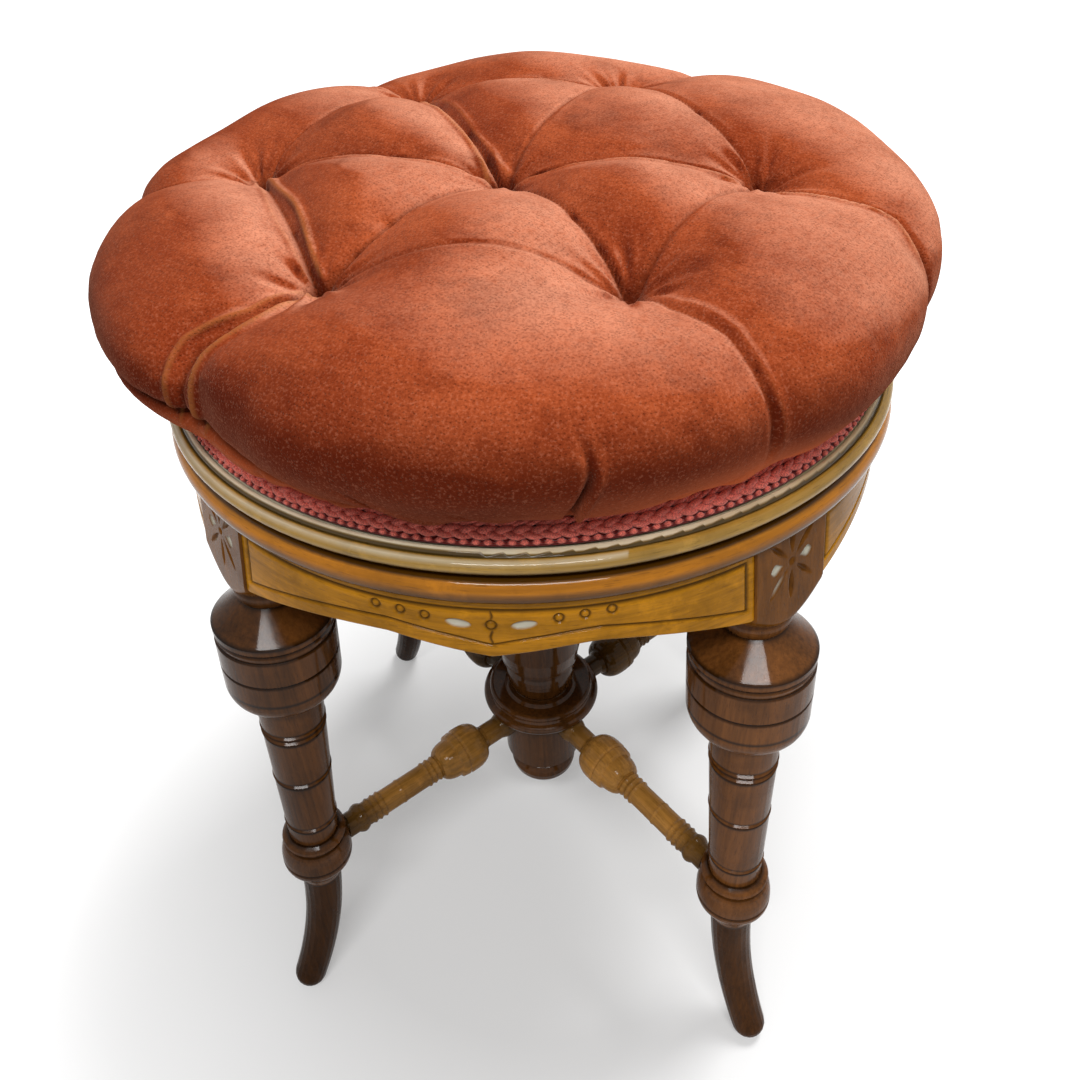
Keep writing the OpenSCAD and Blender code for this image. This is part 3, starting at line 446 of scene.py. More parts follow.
def velvet(name, colours):
    """Crushed velvet: clouds of nap that lie to or from the light, a weave of fine dots and a sheen.

    The marks are painted light and shade. "lay" says how far a slope faces the light: painted pale as it
    nears 1 and painted dark below about 0.6. "drawn" is 1 where painted light brightens the foot, "mark" is
    painted shade in a crease, pit or pucker, and "edge" a painted highlight along the crest of a fold.
    """
    material, w = start_material(name)
    place = place_of(w)
    body, light, dark = tuple(colours.velvet), tuple(colours.velvet_light), tuple(colours.velvet_dark)
    drift = noise(w, place, 9.0, 3.0, 0.5)
    cloud = noise(w, place, 26.0, 6.0, 0.68)
    brush = noise(w, stretched(w, place, (26.0, 120.0, 60.0), (0.3, 0.2, 0.7)), 1.0, 5.0, 0.65)
    pile = noise(w, place, 330.0, 5.0, 0.7)
    nap = noise(w, place, 900.0, 3.0, 0.65)
    weave = cells(w, stretched(w, place, (1.0, 0.8, 1.0), (0.0, 0.0, 0.5)), 760.0, 0.4)
    slope = mark_of(w, "light_facing")
    tone = mix(w, body, light, fit(w, drift * 0.35 + cloud * 0.40 + brush * 0.25, 0.40, 0.60))
    crushed = fit(w, noise(w, place, 27.0, 6.0, 0.68), 0.50, 0.68)
    tone = mix(w, tone, dark, crushed * 0.55)
    # painted shade on slopes turned from the light
    tone = mix(w, tone, dark, fit(w, slope, 0.60, -0.15, 0.0, 0.85))
    # painted sheen on slopes that face the light
    bloom = fit(w, slope, 0.60, 0.92, 0.0, 0.85) * fit(w, cloud * 0.5 + pile * 0.5, 0.40, 0.58, 0.45, 1.0)
    tone = mix(w, tone, tuple(colours.velvet_pale), bloom)
    tone = mix(w, tone, scaled(body, 0.30), fit(w, weave, 0.34, 0.14) * 0.26)
    tone = mix(w, tone, dark, fit(w, pile, 0.50, 0.64) * 0.20)
    tone = mix(w, tone, dark, fit(w, nap, 0.50, 0.61) * 0.30)
    tone = mix(w, tone, tuple(colours.velvet_pale), fit(w, nap, 0.46, 0.34) * 0.12)
    # painted light on the foot
    tone = mix(w, tone, scaled(light, 1.9), mark_of(w, "drawn") * (0.35 + cloud * 0.7))
    # painted shade in creases, pits and puckers
    tone = mix(w, tone, scaled(dark, 0.4), fit(w, mark_of(w), 0.12, 1.0, 0.0, 0.9))
    # painted highlight along the crests of folds, broken up by the nap
    tone = mix(w, tone, FOLD_HIGHLIGHT, fit(w, mark_of(w, "edge"), 0.35, 1.0, 0.0, 0.5) * nap)
    finish_material(w, tone, 0.95, nap * 0.7 + cloud * 0.5 - fit(w, weave, 0.34, 0.10) * 0.5, 0.00045,
                    Sheen_Weight=0.18, Sheen_Roughness=0.45, Sheen_Tint=(1.0, 0.50, 0.34, 1.0),
                    Specular_IOR_Level=0.0)
    return material


def yarn(name, body, shade):
    """Twisted yarn: fine fuzz and soiled patches, and the shade colour where its mark is 1."""
    material, w = start_material(name)
    place = place_of(w)
    fuzz = noise(w, place, 1500.0, 3.0, 0.65)
    darkening = noise(w, place, 60.0, 3.0, 0.6)
    tone = mix(w, scaled(body, 0.55), scaled(body, 1.25), fit(w, fuzz, 0.36, 0.62))
    tone = mix(w, tone, scaled(body, 0.55), fit(w, darkening, 0.5, 0.7) * 0.4)
    tone = mix(w, tone, shade, fit(w, mark_of(w), 0.2, 0.9))
    finish_material(w, tone, 0.88, fuzz, 0.0004, Sheen_Weight=0.25, Sheen_Roughness=0.5,
                    Specular_IOR_Level=0.1)
    return material


def metal(name, body, roughness, metallic):
    """Old iron or steel: turning marks, oily patches and specks of rust."""
    material, w = start_material(name)
    place = place_of(w)
    marks = noise(w, stretched(w, place, (40.0, 40.0, 2600.0)), 1.0, 3.0, 0.5)
    patch = noise(w, place, 70.0, 5.0, 0.65)
    rust = fit(w, noise(w, place, 240.0, 4.0, 0.7), 0.60, 0.72)
    tone = mix(w, scaled(body, 0.6), scaled(body, 1.4), fit(w, patch, 0.35, 0.65))
    tone = mix(w, tone, RUST, rust * 0.6)
    rough = fit(w, patch * 0.6 + marks * 0.4, 0.3, 0.7, roughness - 0.08, roughness + 0.18)
    finish_material(w, tone, rough, marks * 0.3 + rust * 0.5 + patch * 0.4, 0.00008, Metallic=metallic)
    return material


def give(node, material):
    """Put a material on every slot of a CAD node or a new piece."""
    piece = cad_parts[node] if isinstance(node, str) else node
    if not piece.material_slots:
        piece.data.materials.append(material)
    for slot in piece.material_slots:
        slot.material = material


# Cushion

BOARD_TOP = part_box("cushion")[0][2]
CROWN = 0.098
BELLY_R = 0.202
FOOT_R = 0.168
BELLY_H = 0.054
FULLNESS = 0.8
SWELL = 0.002             # how much smaller the form is made before the cloth blows it up
SIDE_ROWS, TOP_ROWS, ROUND = 24, 100, 360
TURN_SHARE = 0.4          # share of the way to the crown at which a tuft's pull points straight down
REST_GAP = 0.0003         # least height over the board
LIGHT_SIDE = (0.53, 0.36, 0.77)  # the side the light falls from: a slope that faces it is painted pale, one turned from it painted dark

# Where the tufts sit in plan: the middle one, then six round it from the right, counter-clockwise
TUFTS = np.array([(-2, -6), (118, -3), (48, 119), (-70, 116), (-130, 10), (-66, -100), (61, -97)]) * MM
TUFT_PULL = (1.12, 0.9, 0.84, 0.84, 0.84, 0.9, 1.0)

# Pleats in plan, each with how tightly it is drawn
PLEATS = [([0, 1], 0.55), ([0, 2], 0.22), ([0, 3], 0.90), ([0, 4], 0.62), ([0, 5], 0.62), ([0, 6], 0.66),
          ([1, 2], 0.35), ([2, 3], 0.60), ([3, 4], 0.28), ([4, 5], 0.90), ([5, 6], 0.05), ([6, 1], 0.30),
          ([1, (142, -24), (172, -38), (184, -62)], 0.45),
          ([2, (76, 140), (118, 168)], 0.45),
          ([3, (-101, 141), (-132, 160)], 0.45),
          ([4, (-160, -6), (-206, -6)], 0.40),
          ([5, (-84, -124), (-104, -140), (-112, -158), (-103, -176), (-90, -186)], 0.75),
          ([6, (76, -121), (96, -136), (112, -159), (118, -168)], 0.24)]


def pleat_paths():
    """Every pleat as a line of points in plan, in metres, with its tightness."""
    return [([TUFTS[p] if isinstance(p, int) else np.array(p) * MM for p in points], pull)
            for points, pull in PLEATS]


def path_gap(x, y, path):
    """Distance from a line of points in plan, and the share of its length at the nearest place."""
    lengths = [np.hypot(*(b - a)) for a, b in zip(path, path[1:])]
    gap, where, done = np.full_like(x, 9.0), np.zeros_like(x), 0.0
    for a, b, far in zip(path, path[1:], lengths):
        near, share = line_gap(x, y, a, b)
        closer = near < gap
        gap = np.where(closer, near, gap)
        where = np.where(closer, (done + share * far) / sum(lengths), where)
        done += far
    return gap, where


def cushion_pull(x, y, sizes, sharp=1.0):
    """Pull of the tufts and of the pleats, 0 to 1, at each point of the plan.

    A tuft is exp(-distance / width). A pleat is tightness * exp(-distance / width), so that both end in
    a point or a crease and the stuffing between them is round. sharp narrows both.
    """
    tuft, pleat = np.zeros_like(x), np.zeros_like(x)
    for (cx, cy), pull in zip(TUFTS, TUFT_PULL):
        tuft = np.maximum(tuft, pull * np.exp(-np.hypot(x - cx, y - cy) / (sizes.tuft_width * sharp)))
    for path, pull in pleat_paths():
        gap = path_gap(x, y, path)[0]
        pleat = np.maximum(pleat, pull * np.exp(-gap / (sizes.pleat_width * sharp)))
    return tuft, pleat


def cushion_form(sizes):
    """Closed form of the stuffing: rows run from the foot out to the belly and in to the crown.

    Foot to belly: r = foot + (belly - foot) sin(a)^0.8, z = belly height * t. Belly to crown:
    r = belly * cos(a)^0.8, z = belly height + rise * sin(a)^0.8. Tufts and pleats draw the side
    straight in and the crown straight down, with a turn between, and the back stands a little higher
    than the front.
    """
    below = np.linspace(0.0, 1.0, SIDE_ROWS)
    above = np.linspace(0.0, 1.0, TOP_ROWS)[1:-1] ** 1.1
    side, top = below * math.pi / 2, above * math.pi / 2
    r = np.concatenate([FOOT_R + (BELLY_R - FOOT_R) * np.sin(side) ** FULLNESS,
                        BELLY_R * np.cos(top) ** FULLNESS])
    z = np.concatenate([BELLY_H * below, BELLY_H + (CROWN - BELLY_H) * np.sin(top) ** FULLNESS])
    a = np.linspace(0.0, FULL_TURN, ROUND, endpoint=False)
    reach = (r - SWELL)[:, None]
    x, y = reach * np.cos(a), reach * np.sin(a)
    tuft, pleat = cushion_pull(x, y, sizes)
    rise = np.concatenate([below, np.ones(len(above))])[:, None]
    pull = rise * (tuft * sizes.tuft_depth + np.clip(1.0 - tuft, 0.0, 1.0) * pleat * sizes.pleat_depth)
    tilt = math.pi / 2 * np.concatenate([np.zeros(SIDE_ROWS), np.clip(above / TURN_SHARE, 0.0, 1.0)])[:, None]
    reach = reach - pull * np.cos(tilt)
    height = z[:, None] - SWELL * rise - pull * np.sin(tilt)
    x = reach * np.cos(a) + sizes.lean * rise
    y = reach * np.sin(a)
    height = height + sizes.lift * y / BELLY_R * rise
    return np.stack([x, y, BOARD_TOP + np.maximum(height, REST_GAP)], axis=2)


CLOTH_FRAMES = 20
PRESSURE = 4.0
STITCH_SHARE = 0.4              # how narrow the held tufts and pleats are, beside their hollows
FOOT_HELD, FOOT_FREE = 0.004, 0.012


def stuff_with_cloth(piece, sizes):
    """Voxel remesh, then some frames of cloth under pressure, held at tufts, pleats and foot."""
    bpy.context.view_layer.objects.active = piece
    remesh = piece.modifiers.new("even", "REMESH")
    remesh.mode = "VOXEL"
    remesh.voxel_size = sizes.voxel
    baked = with_modifiers(piece)
    piece.modifiers.clear()
    piece.data = baked
    before = read_vectors(baked.vertices, "co")
    tuft, pleat = cushion_pull(before[:, 0] - sizes.lean, before[:, 1], sizes, STITCH_SHARE)
    low = smooth_step((BOARD_TOP + FOOT_FREE - before[:, 2]) / (FOOT_FREE - FOOT_HELD))
    hold = np.clip(np.maximum(np.maximum(tuft * 1.2, pleat * 1.4), low), 0.0, 1.0)
    group = piece.vertex_groups.new(name="held")
    for step in np.unique(np.round(hold, 1)):
        where = np.nonzero(np.round(hold, 1) == step)[0]
        if step > 0:
            group.add(where.tolist(), float(step), "REPLACE")
    cloth = piece.modifiers.new("stuffing", "CLOTH")
    cloth.settings.use_pressure = True
    cloth.settings.uniform_pressure_force = PRESSURE
    cloth.settings.vertex_group_mass = "held"
    cloth.settings.pin_stiffness = 1.0
    cloth.settings.quality = 4
    cloth.settings.effector_weights.gravity = 0.0
    cloth.point_cache.frame_start = 1
    cloth.point_cache.frame_end = CLOTH_FRAMES
    for step in range(1, CLOTH_FRAMES + 1):
        bpy.context.scene.frame_set(step)
    after = read_vectors(with_modifiers(piece).vertices, "co")
    piece.modifiers.clear()
    piece.vertex_groups.clear()
    bpy.context.scene.frame_set(1)
    move = after - before
    far = np.linalg.norm(move, axis=1, keepdims=True)
    move *= np.minimum(1.0, sizes.cloth_cap / np.maximum(far, 1e-9))
    baked.vertices.foreach_set("co", (before + move).ravel())
    baked.update()
    finer = piece.modifiers.new("finer", "SUBSURF")
    finer.levels = finer.render_levels = 2
    smooth = with_modifiers(piece)
    piece.modifiers.clear()
    piece.data = smooth


# Depths and widths of what is sewn, in metres
CREASE_DEPTH, CREASE_W = 0.0030, 0.0012
PIT_DEPTH, PIT_W = 0.0060, 0.0050
GATHER_DEPTH, GATHER_AT, GATHER_W = 0.0010, 0.013, 0.011
FOLD_W, FOLD_FULL = 0.0017, 0.0020
CAST_DEPTH = 0.0009
SAG_DEPTH, SAG_AT, SAG_W = 0.0008, 0.012, 0.010
# PUCKER_FULL is the pucker depth at which its painted shade is full
PUCKER_FULL = 0.0042

# The tuck at the foot: depth and width, height at its front end and how much that grows for each degree,
# in metres, the compass angle where it stops to climb, and those where it ends
TUCK_DEPTH, TUCK_W, TUCK_AT, TUCK_CLIMB = 0.0050, 0.0030, 0.0140, 0.00060
TUCK_LEVEL, TUCK_LEFT, TUCK_RIGHT = 262.0, 212.0, 266.0

# Painted light on the cushion's foot: its top, and the height over which it fades, in metres
FOOT_LIGHT_TOP, FOOT_LIGHT_FADE = 0.036, 0.024

# The foot stays on the form up to here, and is free above it
FORM_FREE, FORM_FADE, SEAM_IN = 0.014, 0.009, 0.002

# Folds that stand up beside a pleat: its number in PLEATS, height and distance to its side, in metres
FOLDS = ((9, 0.0019, 0.0050), (9, 0.0013, -0.0042), (2, 0.0020, 0.0048), (2, 0.0011, -0.0046),
         (16, 0.0024, 0.0056), (16, 0.0018, -0.0054), (0, 0.0012, -0.0036), (12, 0.0015, -0.0040),
         (7, 0.0012, 0.0040), (3, 0.0011, 0.0040), (17, 0.0009, 0.0040), (14, 0.0010, 0.0040))

# Puckers at the foot: compass angle in degrees, height that they reach, width and depth, in metres, and
# the slant of each, in degrees for a metre of height
PUCKERS = ((283.5, 0.058, 0.0016, 0.0050, 0.0), (279.0, 0.030, 0.0024, 0.0036, 330.0),
           (273.0, 0.034, 0.0022, 0.0042, 480.0), (267.0, 0.022, 0.0020, 0.0032, 520.0),
           (258.0, 0.020, 0.0030, 0.0016, 200.0), (250.0, 0.018, 0.0034, 0.0014, 0.0),
           (292.0, 0.022, 0.0030, 0.0022, -240.0), (300.0, 0.026, 0.0034, 0.0018, -200.0),
           (246.0, 0.030, 0.0032, 0.0018, 0.0))


def side_of(x, y, path):
    """Signed distance from a pleat, positive on its left, taken at the nearest of its straight parts."""
    best, signed = np.full_like(x, 9.0), np.zeros_like(x)
    for a, b in zip(path, path[1:]):
        near = line_gap(x, y, a, b)[0]
        cross = (b[0] - a[0]) * (y - a[1]) - (b[1] - a[1]) * (x - a[0])
        signed = np.where(near < best, np.copysign(near, cross), signed)
        best = np.minimum(best, near)
    return signed


def sew_cushion(piece, sizes):
    """Creases and small folds made after the remesh, which would have closed them.

    Each pleat gets a narrow crease, deepest beside its tufts; a tightly drawn one gets folds that stand
    up beside it. Each tuft gets a sharp bottom with short gathers round it, and the foot gets puckers
    and, at the front left, a tuck.
    """
    mesh = piece.data
    co, normal = read_vectors(mesh.vertices, "co"), read_vectors(mesh.vertex_normals, "vector")
    up = co[:, 2] - BOARD_TOP
    x, y = co[:, 0] - sizes.lean * np.clip(up / BELLY_H, 0.0, 1.0), co[:, 1]
    top = smooth_step((up / CROWN - 0.10) / 0.3)
    pit, gather = np.zeros_like(x), np.zeros_like(x)
    for i, (cx, cy) in enumerate(TUFTS):
        gap = np.hypot(x - cx, y - cy)
        around = np.arctan2(y - cy, x - cx)
        pit = np.maximum(pit, np.exp(-gap / PIT_W))
        wave = np.sin(around * 8 + i * 1.7 + 1.2 * np.sin(around * 3 + i)) + 0.5 * np.sin(around * 17 + i)
        gather += wave * bell(gap - GATHER_AT, GATHER_W)
    crease, fold = np.zeros_like(x), np.zeros_like(x)
    paths = pleat_paths()
    for path, pull in paths:
        gap, share = path_gap(x, y, path)
        ends = 0.6 + 0.4 * np.square(2.0 * share - 1.0)
        crease = np.maximum(crease, bell(gap, CREASE_W) * min(1.0, 0.40 + pull) * ends)
    for i, height, aside in FOLDS:
        path = paths[i][0]
        signed = side_of(x, y, path)
        share = path_gap(x, y, path)[1]
        along = smooth_step(share / 0.06) * smooth_step((1.0 - share) / 0.10)
        wander = aside * (1.0 + 0.25 * np.sin(share * 9.0 + i))
        fold = np.maximum(fold, height * bell(signed - wander, FOLD_W) * along)
    around = np.degrees(np.arctan2(y, x)) % 360.0
    pucker = np.zeros_like(x)
    for angle, reach, width, depth, slant in PUCKERS:
        aside = np.radians(around - angle + slant * up + 1.2 * np.sin(up * 110.0)) * BELLY_R
        ends = smooth_step((reach - up) / (0.6 * reach)) * smooth_step((up - 0.004) / 0.008)
        pucker += depth * (bell(aside, width) - 0.4 * bell(aside - 2.0 * width, width)) * ends
    climb = TUCK_AT + TUCK_CLIMB * np.clip(TUCK_LEVEL - around, 0.0, 40.0)
    ends = smooth_step((TUCK_RIGHT - around) / 16.0) * smooth_step((around - TUCK_LEFT) / 12.0)
    pucker += TUCK_DEPTH * bell(up - climb, TUCK_W) * ends
    cast = CAST_DEPTH * (np.sin(x * 61 + 1.1) * np.sin(y * 53 + 0.3) + np.sin((x + y) * 38 + 2.0))
    sag = np.sin(np.radians(around) * 23 + 1.5 * np.sin(np.radians(around) * 7)) * bell(up - SAG_AT, SAG_W)
    depth = (fold - CREASE_DEPTH * crease - PIT_DEPTH * pit + GATHER_DEPTH * gather + cast) * top
    depth = depth - pucker + SAG_DEPTH * sag
    form = FOOT_R + (BELLY_R - FOOT_R) * np.sin(np.clip(up / BELLY_H, 0.0, 1.0) * math.pi / 2) ** FULLNESS
    reach = np.hypot(co[:, 0], co[:, 1])
    held = smooth_step((FORM_FREE - up) / FORM_FADE) * smooth_step((reach - FOOT_R + 0.010) / 0.005)
    co = co + normal * depth[:, None]
    co[:, :2] *= (1.0 + held * ((form - SEAM_IN) / np.maximum(reach, MM) - 1.0))[:, None]
    co[:, 2] = np.maximum(co[:, 2], BOARD_TOP + 0.2 * MM)
    mesh.vertices.foreach_set("co", co.ravel())
    mesh.update()
    # painted shade in the creases, the tufts' pits, the puckers and the tuck
    shade = np.clip(np.maximum(crease * 1.1, pit * 1.2) * top + pucker / PUCKER_FULL, 0.0, 1.0)
    # painted light on the foot, stronger in five broad patches round it
    drawn = smooth_step((FOOT_LIGHT_TOP - up) / FOOT_LIGHT_FADE) * (0.55 + 0.45 * np.sin(np.radians(around) * 5.0))
    keep_mark(mesh, "mark", shade)
    # painted highlight along the crest of a fold
    keep_mark(mesh, "edge", np.clip(fold / FOLD_FULL, 0.0, 1.0) * top)
    keep_mark(mesh, "drawn", drawn)
    # painted light and shade: how far each point's slope faces the light
    keep_mark(mesh, "light_facing", read_vectors(mesh.vertex_normals, "vector") @ np.array(LIGHT_SIDE))
    mesh.polygons.foreach_set("use_smooth", np.ones(len(mesh.polygons), dtype=bool))
    mesh.update()


class STOOL_OT_cushion(bpy.types.Operator):
    """Tufted velvet cushion, blown up with cloth and then sewn"""
    bl_idname = "stool.cushion"
    bl_label = "Tufted cushion"

    def execute(self, context):
        sizes = context.scene.stool_cushion
        piece = grid_piece("velvet_cushion", cushion_form(sizes), around=True, ends=(0, -1))
        stuff_with_cloth(piece, sizes)
        sew_cushion(piece, sizes)
        give(piece, velvet("velvet", context.scene.stool_colours))
        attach(piece, "seat")
        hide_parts("cushion")
        return {"FINISHED"}


# Gimp

GIMP_R, GIMP_Z = 0.17675, 0.4459
GIMP_SLOPE = math.radians(130)
TAPE = np.array([(0.2, 0.0), (9.6, 0.0), (9.9, 0.35), (9.6, 0.7), (0.2, 0.7), (-0.1, 0.35)]) * MM
PLAIT_CORDS, PLAIT_WAVES, TWISTS, PEARLS = 3, 54, 112, 240
CORD_SIDES = 8
# Each cord's place across the tape, its height over it and its radius, in metres, each with its swing
PLAIT_ACROSS, PLAIT_OUT, PLAIT_R = (0.0052, 0.0016), (0.0016, 0.0007), (0.00135, 0.00025)
TWIST_ACROSS, TWIST_OUT, TWIST_R = (0.0090, 0.0007), (0.0014, 0.0006), (0.00095, 0.0)
PEARL_ACROSS, PEARL_OUT, PEARL_R = (0.0011, 0.0004), (0.0010, 0.0002), (0.00045, 0.00085)


def swung(size, wave):
    """A size given as (middle, swing), which follows a wave."""
    return size[0] + size[1] * wave


def band_point(angle, across, out):
    """A point of the gimp: along the ring, across the sloping band from its lower edge, and out of it."""
    c, s = math.cos(GIMP_SLOPE), math.sin(GIMP_SLOPE)
    r = GIMP_R + across * c + out * s
    z = GIMP_Z + across * s - out * c
    return np.stack([r * np.cos(angle), r * np.sin(angle), z + 0.0 * angle], axis=-1)


class STOOL_OT_gimp(bpy.types.Operator):
    """Woven gimp: a tape, a plait of three cords, a twisted edge and an edge of pearls"""
    bl_idname = "stool.gimp"
    bl_label = "Gimp braid"

    def execute(self, context):
        colours = context.scene.stool_colours
        cord = yarn("gimp_yarn", tuple(colours.gimp), tuple(colours.gimp_shade))
        a = np.linspace(0.0, FULL_TURN, 480, endpoint=False)
        tape = np.stack([band_point(a, across, out) for across, out in TAPE], axis=1)
        # the tape lies all in painted shade, the dark ground between the cords
        parts = [grid_piece("gimp_tape", tape, around=True, looped=True,
                            marks={"mark": np.ones(tape.shape[:2])})]
        for strand in range(PLAIT_CORDS):
            a = np.linspace(0.0, FULL_TURN, PLAIT_WAVES * 16, endpoint=False)
            phase = PLAIT_WAVES * a + strand * FULL_TURN / PLAIT_CORDS
            parts.append(self.strand(f"gimp_plait_{strand}", a, swung(PLAIT_ACROSS, np.sin(phase)),
                                     swung(PLAIT_OUT, np.sin(2.0 * phase)),
                                     swung(PLAIT_R, np.sin(2.0 * phase))))
        for strand in range(2):
            a = np.linspace(0.0, FULL_TURN, TWISTS * 10, endpoint=False)
            phase = TWISTS * a + strand * math.pi
            parts.append(self.strand(f"gimp_twist_{strand}", a, swung(TWIST_ACROSS, np.sin(phase)),
                                     swung(TWIST_OUT, np.cos(phase)), swung(TWIST_R, a)))
        a = np.linspace(0.0, FULL_TURN, PEARLS * 8, endpoint=False)
        swell = np.square(np.sin(PEARLS * a / 2))
        parts.append(self.strand("gimp_picot", a, swung(PEARL_ACROSS, swell), swung(PEARL_OUT, swell),
                                 swung(PEARL_R, swell), swell))
        for piece in parts:
            give(piece, cord)
            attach(piece, "seat")
        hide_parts("gimp_braid")
        return {"FINISHED"}

    @staticmethod
    def strand(name, angle, across, out, radius, light=1.0):
        """One closed cord, whose mark of painted shade is 0 where it faces away from the tape and 1 against
        it.

        across and out place it on the band, and light, 0 to 1, keeps the painted shade high where it is
        small.
        """
        path = band_point(angle, across, out)
        points = tube(path, radius, CORD_SIDES)
        c, s = math.cos(GIMP_SLOPE), math.sin(GIMP_SLOPE)
        outward = np.stack([s * np.cos(angle), s * np.sin(angle), -c + 0.0 * angle], axis=-1)
        lift = np.sum((points - path[:, None, :]) * outward[:, None, :], axis=2)
        lift = lift / np.broadcast_to(radius, len(angle))[:, None]
        shown = smooth_step((lift + 0.3) / 1.1) * np.broadcast_to(light, len(angle))[:, None]
        return grid_piece(name, points, around=True, looped=True, marks={"mark": 1.0 - shown})


# Apron panels

APRON_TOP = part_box("base_board")[0][2]
APRON_R = 0.1805
APRON_LEAN = math.tan(math.radians(8.5))
APRON_T = 0.018
APRON_MIDDLE = 0.012      # how far below the ring a panel's width is measured
BLOCK_HALF = 0.0225
PANEL_HALF_W = 0.1107
EDGE = dict(arch=0.0225, point=0.029, end=0.038, shift=0.0065, point_half_w=0.044, arch_share=0.3)
PUNCHES = (0.0274, 0.0380, 0.0490)
PUNCH_DROPS = ((0.0108, 0.0100, 0.0096), (0.0100, 0.0092, 0.0086))
PUNCH_R, CENTRE_R, RING_W = 0.0019, 0.0021, 0.0007
LENS_AT, LENS_DROP, LENS_HALF_W, LENS_HALF_H = 0.0134, 0.0125, 0.0056, 0.0022
CENTRE_DROP = 0.0131
# The incised frame: its distance from the lower edge, from the ring and from a panel's end. The line below
# the ring is a shallow groove darkened as a painted shadow of the ring, with dirt
FRAME_FOOT, RING_SHADOW_DROP, FRAME_SIDE = 0.0070, 0.0058, 0.0036
PANEL_ROUNDING = 0.0014
PANEL_COLUMNS, FACE_ROWS, UNDER_ROWS, BACK_ROWS = 561, 100, 6, 7
BLOCK_GAP = 0.00005


def panel_height(across):
    """Height of a panel at a distance from its middle: a point at one side of it, and an arch.

    arch + (point - arch) (1 - |x - shift| / w)^1.1 + (end - arch) ((|x| / half - 0.3) / 0.7)^1.9
    """
    tip = np.clip(1.0 - np.abs(across - EDGE["shift"]) / EDGE["point_half_w"], 0.0, None)
    side = np.minimum(1.0, np.abs(across) / PANEL_HALF_W)
    fall = np.clip((side - EDGE["arch_share"]) / (1.0 - EDGE["arch_share"]), 0.0, None)
    return (EDGE["arch"] + (EDGE["point"] - EDGE["arch"]) * tip ** 1.1
            + (EDGE["end"] - EDGE["arch"]) * fall ** 1.9)


def panel_cuts(arc, drop, height, end_gap, cut):
    """Depth of the carving at a place on the face, and the painted highlight in the bottom of a lens, 0 to 1.

    arc is the distance round from the panel's middle, drop the distance below the ring, height the
    panel's own height there and end_gap the distance to the nearer end. Lines are bells across their
    path, lenses are 1 - (x/a)^2 - (y/b)^2 and punched rings are bells about a circle.
    """
    line = cut.line_width
    arc = arc - EDGE["shift"]
    frame_in = smooth_step((end_gap - 0.0026) / 0.0010)
    low = height - FRAME_FOOT + 0.0008 * bell(arc, 0.008)
    foot = bell(low - drop, line) * frame_in
    # painted shadow of the ring, with dirt: a shallow dark groove below it
    shadow_line = bell(drop - RING_SHADOW_DROP, 1.5 * line) * frame_in
    within = smooth_step((low + 0.0006 - drop) / 0.0012) * smooth_step((drop - 0.0052) / 0.0012)
    sides = bell(end_gap - FRAME_SIDE, 1.5 * line) * within
    wander = 0.0004 * np.sin(drop * 900.0)
    middle = bell(arc - wander, 0.9 * line) * within * (1.0 - bell(drop - CENTRE_DROP, 0.0022))
    lip = -0.35 * bell(low + 0.0016 - drop, line) * frame_in
    depth = cut.line_depth * (np.maximum.reduce([foot, shadow_line, sides, middle]) + lip)
    bright = np.zeros_like(depth)
    for side, drops in zip((-1.0, 1.0), PUNCH_DROPS):
        x = (arc - side * LENS_AT) / LENS_HALF_W
        y = (drop - LENS_DROP + side * 0.0001 + side * x * 0.0006) / LENS_HALF_H
        hollow = np.clip(1.0 - x * x - y * y, 0.0, None)
        depth = np.maximum(depth, cut.gouge_depth * hollow ** 0.8)
        bright = np.maximum(bright, smooth_step(hollow * 2.2) * smooth_step((y + 0.45) / 0.5))
        for place, punch_drop in zip(PUNCHES, drops):
            gap = np.hypot(arc - side * place, drop - punch_drop)
            depth = np.maximum(depth, cut.line_depth * bell(gap - PUNCH_R, RING_W))
    gap = np.hypot(arc, drop - CENTRE_DROP)
    return np.maximum(depth, cut.line_depth * bell(gap - CENTRE_R, RING_W)), bright


